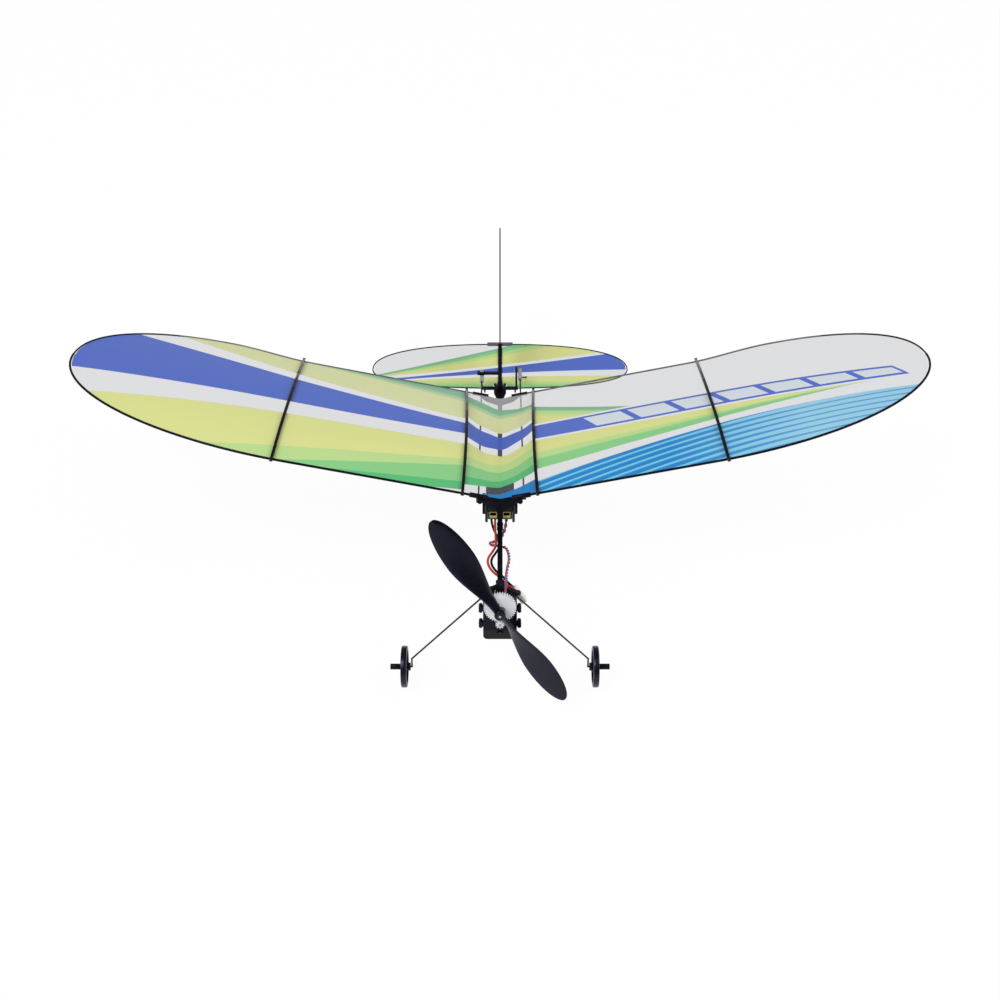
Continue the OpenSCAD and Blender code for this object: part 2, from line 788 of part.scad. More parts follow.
// Landing gear
module leg(side)
    color("dimgray")
        sided(side) {
            rod(leg_root, knee, leg_d);
            rod(knee, axle, leg_d);
            translate(axle)
                bar_x(0, hub_out + side_gap + stop_len - 0.3 - leg_x, leg_d);
            for (bend = [knee, axle])
                translate(bend)
                    sphere(d = leg_d + 0.06);
        }

module wheel(side)
    color("black")
        sided(side)
            translate([0, axle.y, axle.z])
                difference() {
                    union() {
                        difference() {
                            bar_x(wheel_x - wheel_w / 2, wheel_x + wheel_w / 2, wheel_d);
                            bar_x(wheel_x - wheel_w, wheel_x + wheel_w, wheel_d - 2 * rim_t);
                        }
                        bar_x(hub_in, hub_out, wheel_hub_d);
                        for (k = [0:spokes - 1])
                            rotate([360 * k / spokes, 0, 0])
                                box([wheel_x - spoke_t / 2, wheel_x + spoke_t / 2],
                                    [-spoke_w / 2, spoke_w / 2],
                                    [wheel_hub_d / 2 - 0.5, wheel_d / 2 - rim_t + 0.3]);
                    }
                    bar_x(hub_in - 1, hub_out + 1, leg_d + 2 * fit);
                }

module wheel_stop(side)
    color("black")
        sided(side)
            translate([0, axle.y, axle.z])
                difference() {
                    bar_x(hub_out + side_gap, hub_out + side_gap + stop_len, stop_d);
                    bar_x(hub_out, hub_out + side_gap + stop_len - 0.3 + fit, leg_d + fit);
                }

// Receiver unit on the boom
module receiver_case() {
    half = receiver_w / 2;
    inner = half - receiver_wall;
    foot_z = slider_low + slider_h / 2;
    run = rudder_travel + foot_len / 2 + side_gap;
    color("black")
        difference() {
            union() {
                box([-half, half], [receiver_front, receiver_back], [receiver_low, receiver_top]);
                for (x = [-1, 1])
                    translate([x * (half - 0.3), receiver_front + 0.1, boom_w / 2])
                        cylinder(h = receiver_top - boom_w / 2 - 0.5, d = 1.15);
            }
            box([-inner, inner], [receiver_front + receiver_wall, receiver_back - receiver_wall],
                [0, receiver_top - receiver_wall]);
            box([-inner, inner], [0, receiver_front + receiver_wall + 0.1],
                [0, receiver_low + board_t + 2.9]);
            box([-half - 2, half + 2], [slider_y - run, slider_y + run],
                [foot_z - foot_h / 2 - 0.1, foot_z + foot_h / 2 + 0.1]);
        }
}

module receiver_board()
    color("green") {
        inner = receiver_w / 2 - receiver_wall - fit;
        box([-inner, inner], [receiver_front + 0.3, receiver_back - receiver_wall - fit],
            [receiver_low, receiver_low + board_t]);
    }

module signal_sockets()
    color("khaki")
        for (side = [-1, 1])
            sided(side) {
                low = receiver_low + board_t;
                difference() {
                    box([1.2, 4.2], [receiver_front + 0.2, receiver_front + 3.4], [low, low + 2.6]);
                    box([1.5, 3.9], [receiver_front - 1, receiver_front + 1.6], [low + 1, low + 2.3]);
                }
            }

module receiver_tape()
    color("gray")
        box([-boom_w / 2, boom_w / 2], [receiver_front + 3.8, receiver_back - 1],
            [boom_w / 2, receiver_low]);

module servo_motor(side)
    color("silver")
        sided(side)
            translate([servo_d / 2 + 0.1, 0, receiver_low + board_t + side_gap + servo_d / 2])
                bar_y(receiver_back - receiver_wall - fit - servo_len, receiver_back - receiver_wall - fit,
                    servo_d);

module slider(side, pin_at) {
    inner = receiver_w / 2 - receiver_wall + 0.1;
    foot_z = slider_low + slider_h / 2;
    reach = abs(pin_at.x) + 0.9;
    color("black")
        difference() {
            sided(side) {
                box([slider_x - slider_t / 2, slider_x + slider_t / 2],
                    [slider_y - slider_len / 2, slider_y + slider_len / 2],
                    [slider_low, slider_low + slider_h]);
                box([inner, slider_x], [slider_y - foot_len / 2, slider_y + foot_len / 2],
                    [foot_z - foot_h / 2, foot_z + foot_h / 2]);
                box([slider_x, reach], [slider_y - slider_len / 2, slider_y + slider_len / 2 - 1.5],
                    [pin_at.z - lug_h / 2, pin_at.z + lug_h / 2]);
            }
            translate([pin_at.x, 0, pin_at.z])
                bar_y(slider_y - slider_len, slider_y + slider_len, pushrod_d + fit);
        }
}

module pushrod(pin_at, back)
    color("black")
        translate([pin_at.x, 0, pin_at.z])
            bar_y(slider_y - slider_len / 2 - 0.3, pin_at.y + back - connector_len + 6, pushrod_d);

// A sleeve clamped on the pushrod, with the pin that works the horn
module connector(pin_at, back, pin_turn, pin_up, head_d)
    color("darkgray")
        difference() {
            union() {
                translate([pin_at.x, 0, pin_at.z])
                    bar_y(pin_at.y + back - connector_len, pin_at.y + back, connector_d);
                translate(pin_at)
                    rotate(pin_turn) {
                        cylinder(h = pin_up + 0.2, d = link_pin_d);
                        translate([0, 0, pin_up])
                            cylinder(h = 0.55, d = head_d);
                    }
            }
            translate([pin_at.x, 0, pin_at.z])
                bar_y(slider_y, pin_at.y + back - connector_len + 6 + fit, pushrod_d + fit);
        }

module set_screw(pin_at, back, turn)
    color("black")
        translate([pin_at.x, pin_at.y + back - connector_len + 2.5, pin_at.z])
            rotate(turn)
                translate([0, 0, connector_d / 2]) {
                    cylinder(h = 2, d = 0.7);
                    translate([0, 0, 1.6])
                        cylinder(h = 0.6, d1 = 0.7, d2 = 1.3);
                }

// Tail block, with the boom's socket, the rudder's bore and the elevator's open bearings
module tail_block() {
    sleeve = boom_w / 2 + fit + 0.45;
    seat = boom_w / 2 + fit;
    color("black")
        difference() {
            union() {
                box([-sleeve, sleeve], [boom_tail - 7.4, boom_tail + 1], [-sleeve, sleeve]);
                box([-cheek_in, cheek_in], [boom_tail + 0.2, hinge.y - 1.7],
                    [hinge.z - 2.6, post_low - side_gap]);
                box([-heel_half, heel_half], [boom_tail + 0.2, hinge.y], [block_low + 1.5, hinge.z]);
                extrude_y(rudder_at - 0.6, block_back)
                    for (x = [0, 1])
                        mirror([x, 0])
                            polygon([
                                [0, block_low], [heel_half, block_low], [heel_half + 0.3, block_low + 2],
                                [cheek_out, hinge.z - 0.9], [cheek_out, cheek_top],
                                [cheek_in, cheek_top], [cheek_in, hinge.z - 1.9], [0, hinge.z - 2.9]
                            ]);
            }
            box([-seat, seat], [boom_tail - 9, boom_tail + fit], [-seat, seat]);
            translate([0, rudder_at, block_low + 1])
                cylinder(h = 20, d = pin_d + 2 * fit);
            translate(hinge) {
                bar_x(-5, 5, 2 * (bar_r + fit));
                box([-5, 5], [0, 5], [-0.75, 0.75]);
            }
        }
}

// Elevator: X along the span, Y along the chord and Z square to the film, from its hinge
module elevator_frame()
    translate(hinge)
        rotate([elevator_rest, 0, 0])
            children();

function elevator_edge(u, back, inset) =
    let (half = elevator_half - inset,
        depth = (back ? elevator_chord - elevator_front : elevator_front) - inset,
        swell = depth * pow(max(0, 1 - pow(abs(u) / half, elevator_power)), 1 / elevator_power))
        elevator_front + (back ? swell : -swell);

elevator_path = concat(
    [[bar_half - 2.8, 0, 0], [bar_half + 0.8, 0, 0]],
    [for (a = [-82:4:262])
        [elevator_half * sign(cos(a)) * pow(abs(cos(a)), 2 / elevator_power),
         elevator_front + (sin(a) > 0 ? elevator_chord - elevator_front : elevator_front)
            * sign(sin(a)) * pow(abs(sin(a)), 2 / elevator_power), 0]],
    [[-bar_half - 0.8, 0, 0], [2.8 - bar_half, 0, 0]]
);

module elevator_bow()
    color("dimgray")
        elevator_frame()
            tube(elevator_path, tail_rod_d);

module elevator_film() {
    film_in = tail_rod_r + film_gap;
    front_in = bar_r + glue_gap;
    back_in = rear_bar_w / 2 + glue_gap;
    reach = elevator_half - film_in - 0.2;
    wide = [for (k = [0.1:0.1:1]) film_notch.x + (reach - film_notch.x) * pow(k, 0.6)];
    front = concat(
        [[film_notch.x, front_in], [bar_half + 0.4, front_in], [bar_half + 0.7, film_in]],
        [for (u = wide) [u, film_in]]);
    back = concat(
        [[0, back_in], [rear_bar_half + 0.4, back_in], [rear_bar_half + 0.7, film_in]],
        [for (u = wide) [u, film_in]]);
    color("lightyellow")
        elevator_frame()
            translate([0, 0, -film_t / 2])
                linear_extrude(film_t)
                    polygon(concat(
                        [for (i = [len(front) - 1:-1:0])
                            [-front[i].x, elevator_edge(front[i].x, false, front[i].y)]],
                        [[-film_notch.x, film_notch.y], [film_notch.x, film_notch.y]],
                        [for (f = front) [f.x, elevator_edge(f.x, false, f.y)]],
                        [for (i = [len(back) - 1:-1:0])
                            [back[i].x, elevator_edge(back[i].x, true, back[i].y)]],
                        [for (i = [1:len(back) - 1])
                            [-back[i].x, elevator_edge(back[i].x, true, back[i].y)]]
                    ));
}

module elevator_bar()
    color("black")
        difference() {
            union() {
                translate(hinge)
                    bar_x(-bar_half, bar_half, 2 * bar_r);
                elevator_frame() {
                    box([0.35 - cheek_in, cheek_in - 0.35], [0, boss_end], [spine_lift, spine_lift + 0.8]);
                    for (x = [-7.4, 7.4])
                        box([x - 0.4, x + 0.4], [-0.4, 0.4], [-2.2, 0]);
                }
                translate(hinge)
                    extrude_x(horn_x - horn_t / 2, horn_x + horn_t / 2)
                        polygon([[-1.1, 0], [1.1, 0], [1.1, horn_top], [-1.1, horn_top]]);
            }
            translate(hinge) {
                for (x = [-1, 1])
                    bar_x(x > 0 ? bar_half - 3 : -bar_half - 1, x > 0 ? bar_half + 1 : 3 - bar_half,
                        tail_rod_d + 2 * fit);
                link_slot(elevator_arm, elevator_turn, [90, 0, 90], horn_x);
            }
        }

// A slot that lets a link pin ride out along an arm as the arm turns
module link_slot(arm, turn, lie, at) {
    w = link_pin_d + 2 * link_slack;
    r0 = arm - 0.1;
    r1 = arm / cos(turn) + 0.1;
    translate([at, 0, 0])
        rotate(lie)
            linear_extrude(6, center = true) {
                translate([-w / 2, r0])
                    square([w, r1 - r0]);
                for (r = [r0, r1])
                    translate([0, r])
                        circle(d = w);
            }
}

module elevator_spine()
    color("black")
        elevator_frame()
            box([-spine_w / 2, spine_w / 2], [boss_end, elevator_chord - rear_bar_w / 2],
                [spine_lift, spine_lift + spine_t]);

module elevator_rear_bar()
    color("black")
        elevator_frame()
            difference() {
                box([-rear_bar_half, rear_bar_half],
                    [elevator_chord - rear_bar_w / 2, elevator_chord + rear_bar_w / 2],
                    [-tail_rod_r - 0.35, tail_rod_r + 0.45]);
                translate([0, elevator_chord, 0])
                    bar_x(-rear_bar_half - 1, rear_bar_half + 1, tail_rod_d + 4 * fit);
            }

// Rudder: outline points are [Y, Z] on the middle plane
function fin_edge(inset) =
    let (rod_y = fin_front + tail_rod_r + inset,
        over = fin_top - fin_mid.y - inset,
        rod_low = post_top - 5,
        under_rod = rod_low - 2 * glue_gap)
        concat(
            [[fin_front, bow_low + inset]],
            [for (a = [fin_end_angle:13:0])
                [fin_mid.x + (fin_aft - inset) * pow(cos(a), 2 / fin_power),
                 fin_mid.y - (fin_under - inset) * pow(-sin(a), 2 / fin_power)]],
            [for (a = [10:10:90])
                [fin_mid.x + (fin_aft - inset) * cos(a), fin_mid.y + over * sin(a)]],
            [for (a = [100:10:180])
                [fin_mid.x + (fin_mid.x - rod_y) * cos(a), fin_mid.y + over * sin(a)]],
            inset > 0 ? [[rod_y, under_rod], [fin_front, under_rod]] : [[rod_y, rod_low]]
        );

module rudder_bow()
    color("dimgray")
        tube([for (p = fin_edge(0)) [0, p.x, p.y]], tail_rod_d);

module rudder_film()
    color("lightyellow")
        extrude_x(-film_t / 2, film_t / 2)
            polygon(fin_edge(tail_rod_r + film_gap));

module rudder_post()
    color("black")
        difference() {
            union() {
                box([-post_t / 2, post_t / 2], [rudder_at - post_l / 2, rudder_at + post_l / 2],
                    [post_low, post_top]);
                translate([0, rudder_at, post_low])
                    cylinder(h = 3, d1 = 3.2, d2 = 2);
                box([-rudder_arm - 0.6, 0], [rudder_at - 0.8, rudder_at + 0.8],
                    [arm_z - arm_t / 2, arm_z + arm_t / 2]);
                box([-rudder_arm / cos(rudder_turn) - 1.3, -rudder_arm + 1.2],
                    [rudder_at - 1.2, rudder_at + 1.2], [arm_z - arm_t / 2, arm_z + arm_t / 2]);
            }
            translate([0, rudder_at, post_low - 1])
                cylinder(h = 7, d = pin_d + fit);
            translate([0, rudder_at, arm_z])
                link_slot(rudder_arm, rudder_turn, [0, 0, 90], 0);
        }

module rudder_pin()
    color("silver")
        translate([0, rudder_at, block_low + 1.4])
            cylinder(h = post_low - block_low + 4, d = pin_d);

// Wires and their plug
module wire(route, d, shade)
    color(shade)
        tube(route, d);

module battery_plug()
    color("white")
        translate(plug_top)
            rotate([0, -plug_tilt, 0])
                translate([-plug_size.x / 2, -plug_size.y / 2, -plug_size.z])
                    cube(plug_size);

stand() boom();
stand() gearbox_body();
stand() gearbox_plate();
stand() front_bearing();
stand() rear_bearing();
stand() motor_can();
stand() motor_end_cap();
stand() motor_shaft();
stand() pinion();
stand() spur_gear();
stand() prop_shaft();
stand() propeller();
stand() leg(1);  // left_gear_leg
stand() leg(-1);  // right_gear_leg
stand() wheel(1);  // left_wheel
stand() wheel(-1);  // right_wheel
stand() wheel_stop(1);  // left_wheel_stop
stand() wheel_stop(-1);  // right_wheel_stop
stand() front_wing_mount();
stand() rear_wing_mount();
stand() leading_edge(1);  // left_leading_edge
stand() leading_edge(-1);  // right_leading_edge
stand() trailing_edge(1);  // left_trailing_edge
stand() trailing_edge(-1);  // right_trailing_edge
stand() rib(1, inner_rib);  // left_inner_rib
stand() rib(-1, inner_rib);  // right_inner_rib
stand() rib(1, outer_rib);  // left_outer_rib
stand() rib(-1, outer_rib);  // right_outer_rib
stand() wing_film(1);  // left_wing_film
stand() centre_wing_film();
stand() wing_film(-1);  // right_wing_film
stand() receiver_case();
stand() receiver_board();
stand() signal_sockets();
stand() receiver_tape();
stand() servo_motor(-1);  // rudder_servo_motor
stand() servo_motor(1);  // elevator_servo_motor
stand() slider(-1, rudder_pin_at);  // rudder_slider
stand() slider(1, elevator_pin_at);  // elevator_slider
stand() pushrod(rudder_pin_at, rudder_back);  // rudder_pushrod
stand() pushrod(elevator_pin_at, elevator_back);  // elevator_pushrod
stand() connector(rudder_pin_at, rudder_back, [0, 0, 0], rudder_pin_up, 1.9);  // rudder_connector
stand() connector(elevator_pin_at, elevator_back, [0, -90, 0], elevator_pin_up, 1.5);  // elevator_connector
stand() set_screw(rudder_pin_at, rudder_back, [180, 0, 0]);  // rudder_set_screw
stand() set_screw(elevator_pin_at, elevator_back, [0, 90, 0]);  // elevator_set_screw
stand() tail_block();
stand() elevator_bar();
stand() elevator_bow();
stand() elevator_spine();
stand() elevator_rear_bar();
stand() elevator_film();
stand() rudder_post();
stand() rudder_pin();
stand() rudder_bow();
stand() rudder_film();
stand() wire(red_route, battery_wire_d, "red");  // battery_lead_red
stand() wire(black_route, battery_wire_d, "black");  // battery_lead_black
stand() battery_plug();
stand() wire(motor_route, motor_pair_d, "crimson");  // motor_lead
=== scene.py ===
"""Looks of an ultralight indoor electric plane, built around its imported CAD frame.

Films, bent rods, propeller blades, wheels and wires are built here as finer pieces that stand for
their CAD nodes; the other nodes stay and get materials and soft edges. Sizes are millimetres in the
plane's own level frame: X to the side, Y towards the tail, Z up, counted from the boom's axis below
the wing's leading edge. Stance turns them into the row frame, in metres.
"""

import logging
import math
from dataclasses import dataclass
from enum import Enum
from typing import Dict, List, Optional, Sequence, Tuple, Union

import bmesh
import bpy
import numpy as np
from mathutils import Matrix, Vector

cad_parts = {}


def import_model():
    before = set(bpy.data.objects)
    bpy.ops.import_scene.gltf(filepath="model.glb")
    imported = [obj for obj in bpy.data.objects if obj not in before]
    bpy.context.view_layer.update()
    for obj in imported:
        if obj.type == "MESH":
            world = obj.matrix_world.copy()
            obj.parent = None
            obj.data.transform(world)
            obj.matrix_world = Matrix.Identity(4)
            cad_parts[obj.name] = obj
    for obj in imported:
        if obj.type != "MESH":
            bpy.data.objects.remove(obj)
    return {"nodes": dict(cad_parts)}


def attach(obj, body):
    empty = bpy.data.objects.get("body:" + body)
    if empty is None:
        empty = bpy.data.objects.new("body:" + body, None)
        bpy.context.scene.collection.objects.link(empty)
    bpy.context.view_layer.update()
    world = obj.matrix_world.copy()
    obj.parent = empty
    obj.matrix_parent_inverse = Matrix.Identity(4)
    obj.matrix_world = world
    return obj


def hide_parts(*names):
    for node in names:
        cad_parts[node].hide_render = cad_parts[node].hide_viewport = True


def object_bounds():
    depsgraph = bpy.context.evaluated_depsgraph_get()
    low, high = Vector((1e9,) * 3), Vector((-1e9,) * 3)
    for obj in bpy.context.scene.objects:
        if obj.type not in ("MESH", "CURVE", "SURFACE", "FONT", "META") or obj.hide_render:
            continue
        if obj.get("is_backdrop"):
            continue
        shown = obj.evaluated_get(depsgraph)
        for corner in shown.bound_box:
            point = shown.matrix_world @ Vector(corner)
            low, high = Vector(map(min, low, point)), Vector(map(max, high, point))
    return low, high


LOG = logging.getLogger("plane")
Colour = Tuple[float, float, float]
Point = Tuple[float, float, float]
Route = Tuple[Point, ...]
Shape = Tuple[np.ndarray, List[List[int]]]
Socket = bpy.types.NodeSocket
Sockets = Dict[str, Socket]
Value = Union[Socket, float, Colour]

# Width of the soft step at a printed edge, in millimetres
SOFT_EDGE = 0.35


def srgb(r: float, g: float, b: float) -> Colour:
    """Turns a display colour of 0 to 255 into linear values.

    Args:
        r: Red.
        g: Green.
        b: Blue.

    Returns:
        Linear red, green and blue.
    """
    share = np.array([r, g, b]) / 255.0
    return tuple(np.where(share <= 0.04045, share / 12.92, ((share + 0.055) / 1.055) ** 2.4))


class Ink(Enum):
    """Colours on the films; the first is the bare film."""

    PALE = srgb(126, 129, 138)
    VEIL = srgb(190, 191, 190)
    BLUE = srgb(79, 105, 193)
    NAVY = srgb(66, 97, 190)
    LIME = srgb(210, 214, 138)
    STRAW = srgb(209, 213, 159)
    LEAF = srgb(180, 211, 136)
    GREEN = srgb(132, 197, 129)
    DEEP = srgb(84, 181, 114)
    MINT = srgb(170, 199, 154)
    SAGE = srgb(124, 177, 142)
    SKY = srgb(143, 196, 219)
    SEA = srgb(34, 122, 190)
    LINE = srgb(98, 190, 223)
    MIST = srgb(205, 213, 220)

    @property
    def cover(self) -> float:
        """How far the ink covers the film: none where it is bare, part where it is a veil."""
        return {Ink.PALE: 0.0, Ink.VEIL: 0.4}.get(self, 1.0)


class Body(Enum):
    """CAD bodies that the pieces ride on."""

    AIRFRAME = "airframe"
    PROPELLER = "propeller_unit"
    LEFT_WHEEL = "left_wheel_body"
    RIGHT_WHEEL = "right_wheel_body"
    ELEVATOR = "elevator"
    RUDDER = "rudder"


@dataclass(frozen=True)
class Stance:
    """How the plane stands on its wheels and its heel.

    The middle is that of the part's length on the floor, from the propeller to the fin.
    """

    axle_drop: float = 40.0
    axle_ahead: float = 40.0
    wheel_r: float = 8.1
    heel_low: float = -6.0
    heel_back: float = 138.0
    middle: float = 58.749448

    @property
    def pitch(self) -> float:
        """Angle of the boom, from the heel's place and the wheels' radius."""
        rise, run = self.axle_drop + self.heel_low, self.heel_back + self.axle_ahead
        return math.atan2(rise, run) + math.asin(self.wheel_r / math.hypot(rise, run))

    @property
    def lift(self) -> float:
        """Height of the level frame's origin when the heel is on the floor, to a nanometre."""
        return round(self.heel_back * math.sin(self.pitch) - self.heel_low * math.cos(self.pitch), 6)

    def place(self, level: np.ndarray) -> np.ndarray:
        """Turns level points about X by the pitch, then lifts and centres them.

        Args:
            level: Points in millimetres, X, Y, Z on the last axis.

        Returns:
            The points in the row frame, in metres.
        """
        x, y, z = np.moveaxis(np.asarray(level, float), -1, 0)
        c, s = math.cos(self.pitch), math.sin(self.pitch)
        return np.stack([x, y * c + z * s - self.middle, z * c - y * s + self.lift], -1) / 1000.0

    def level(self, row: np.ndarray) -> np.ndarray:
        """Turns row-frame points back into level ones.

        Args:
            row: Points in metres, X, Y, Z on the last axis.

        Returns:
            The points in the level frame, in millimetres.
        """
        x, y, z = np.moveaxis(np.asarray(row, float) * 1000.0, -1, 0)
        c, s = math.cos(self.pitch), math.sin(self.pitch)
        y, z = y + self.middle, z - self.lift
        return np.stack([x, y * c - z * s, y * s + z * c], -1)


STANCE = Stance()


class Curve:
    """Formulas that several pieces share."""

    @staticmethod
    def circle(steps: int) -> np.ndarray:
        """Angles of even steps round a circle."""
        return np.arange(steps) * 2 * math.pi / steps

    @staticmethod
    def quarter(count: int) -> np.ndarray:
        """Shares from 0 to 1 that draw closer together at the end, as the sine of a quarter turn."""
        return np.sin(np.linspace(0, math.pi / 2, count))

    @staticmethod
    def eased(count: int) -> np.ndarray:
        """Shares from 0 to 1, as one row, that draw closer together at both ends."""
        return (0.5 - 0.5 * np.cos(np.linspace(0, math.pi, count)))[None, :]

    @staticmethod
    def ramp(value: np.ndarray, start: float, width: float) -> np.ndarray:
        """Rises evenly from 0 at the start to 1 after the width."""
        return np.clip((value - start) / width, 0, 1)

    @staticmethod
    def step(share: np.ndarray) -> np.ndarray:
        """Rises smoothly from 0 to 1 with the share: three squares less two cubes."""
        return share * share * (3 - 2 * share)

    @staticmethod
    def oval(x: np.ndarray, power: float) -> np.ndarray:
        """Height at x, from 0 to 1, of a full-cornered oval of unit size."""
        return (1 - x**power) ** (1 / power)

    @staticmethod
    def full(value: np.ndarray, power: float) -> np.ndarray:
        """Raises a sine or cosine to a power and keeps its sign, which fills an oval's corners."""
        return np.sign(value) * np.abs(value) ** power

    @staticmethod
    def run(path: np.ndarray) -> np.ndarray:
        """Distance along a path at each of its points."""
        return np.concatenate([[0], np.cumsum(np.linalg.norm(np.diff(path, axis=0), axis=1))])


def linked(name: str, data: bpy.types.ID) -> bpy.types.Object:
    """Puts a mesh, camera or lamp into the scene.

    Args:
        name: Name of the object.
        data: What it holds.

    Returns:
        The object.
    """
    made = bpy.data.objects.new(name, data)
    bpy.context.scene.collection.objects.link(made)
    return made


class Surface:
    """Surfaces worked out as whole arrays and put into meshes."""

    @staticmethod
    def ring_quads(rows: int, cols: int, closed: bool) -> np.ndarray:
        """Numbers the quads of a grid of points.

        Args:
            rows: Rows of points.
            cols: Points in a row.
            closed: Whether each row joins up with its own start.

        Returns:
            Four point numbers for each quad.
        """
        ids = np.arange(rows * cols).reshape(rows, cols)
        side = np.roll(ids, -1, axis=1) if closed else ids[:, 1:]
        ids = ids if closed else ids[:, :-1]
        return np.stack([ids[:-1], side[:-1], side[1:], ids[1:]], -1).reshape(-1, 4)

    @classmethod
    def loft(cls, rings: np.ndarray) -> Shape:
        """Joins closed rings of points by quads and closes both ends.

        Args:
            rings: Points, rings by points in a ring by 3.

        Returns:
            Points and faces.
        """
        rows, cols = rings.shape[:2]
        ends = [list(range(cols))[::-1], list(range((rows - 1) * cols, rows * cols))]
        return rings.reshape(-1, 3), cls.ring_quads(rows, cols, True).tolist() + ends

    @classmethod
    def turned(cls, profile: Sequence[Tuple[float, float]], steps: int) -> Shape:
        """Turns a closed outline of (along, radius) about the first axis.

        Args:
            profile: Corners of the outline.
            steps: Steps round the axis.

        Returns:
            Points and faces.
        """
        along, radius = np.array(list(profile) + [profile[0]]).T
        angle = Curve.circle(steps)
        across, up = np.outer(radius, np.cos(angle)), np.outer(radius, np.sin(angle))
        rings = np.stack([np.repeat(along[:, None], steps, 1), across, up], -1)
        quads = cls.ring_quads(len(along), steps, True) % (steps * len(profile))
        return rings[:-1].reshape(-1, 3), quads.tolist()

    @classmethod
    def tube(cls, path: np.ndarray, radius: float, guide: Sequence[float], sides: int) -> Shape:
        """Carries a circle along a path; its first spoke is square to the path and to a guide.

        Args:
            path: Points of the centreline.
            radius: Radius of the circle.
            guide: A direction that the path never takes.
            sides: Points of the circle.

        Returns:
            Points and faces.
        """
        first, second = cls.spokes(path, guide)
        angle = Curve.circle(sides)[None, :, None]
        rings = path[:, None] + radius * (np.cos(angle) * first[:, None] + np.sin(angle) * second[:, None])
        return cls.loft(rings)

    @staticmethod
    def spokes(path: np.ndarray, guide: Sequence[float]) -> Tuple[np.ndarray, np.ndarray]:
        """Works out two unit vectors, square to a path and to each other, at each of its points.

        Args:
            path: Points of the path.
            guide: A direction that the path never takes; the first vector is square to it too.

        Returns:
            The first and the second vectors.
        """
        along = np.gradient(path, axis=0)
        along /= np.linalg.norm(along, axis=1, keepdims=True)
        first = np.cross(along, np.asarray(guide, float))
        first /= np.linalg.norm(first, axis=1, keepdims=True)
        return first, np.cross(along, first)

    @staticmethod
    def joined(shapes: Sequence[Shape]) -> Shape:
        """Puts several shapes into one.

        Args:
            shapes: Points and faces of each.

        Returns:
            Points and faces of all.
        """
        starts = np.cumsum([0] + [len(points) for points, _ in shapes])
        parts = zip(shapes, starts)
        faces = [[int(i + start) for i in face] for (_, part), start in parts for face in part]
        return np.vstack([points for points, _ in shapes]), faces

    @staticmethod
    def solid(name: str, shape: Shape, sharp: float = 45.0) -> bpy.types.Object:
        """Makes a closed piece, smooth but for edges sharper than an angle.

        Args:
            name: Name of the piece.
            shape: Level points in millimetres, and faces.
            sharp: Angle in degrees.

        Returns:
            The piece.
        """
        mesh = bpy.data.meshes.new(name)
        mesh.from_pydata(STANCE.place(shape[0]).tolist(), [], shape[1])
        work = bmesh.new()
        work.from_mesh(mesh)
        bmesh.ops.recalc_face_normals(work, faces=work.faces)
        work.to_mesh(mesh)
        work.free()
        mesh.shade_smooth()
        mesh.set_sharp_from_angle(angle=math.radians(sharp))
        return linked(name, mesh)

    @classmethod
    def sheet(cls, name: str, points: np.ndarray, chart: np.ndarray, flip: bool) -> bpy.types.Object:
        """Makes an open sheet from a grid, with the grid's chart as its UV map.

        Args:
            name: Name of the piece.
            points: Level points in millimetres, rows by columns by 3.
            chart: UV of each point, rows by columns by 2.
            flip: Whether the faces are turned over.

        Returns:
            The piece.
        """
        rows, cols = points.shape[:2]
        quads = cls.ring_quads(rows, cols, False)
        quads = quads[:, ::-1] if flip else quads
        mesh = bpy.data.meshes.new(name)
        mesh.from_pydata(STANCE.place(points).reshape(-1, 3).tolist(), [], quads.tolist())
        layer = mesh.uv_layers.new(name="UVMap")
        layer.data.foreach_set("uv", chart.reshape(-1, 2)[quads.ravel()].astype(np.float32).ravel())
        mesh.shade_smooth()
        return linked(name, mesh)


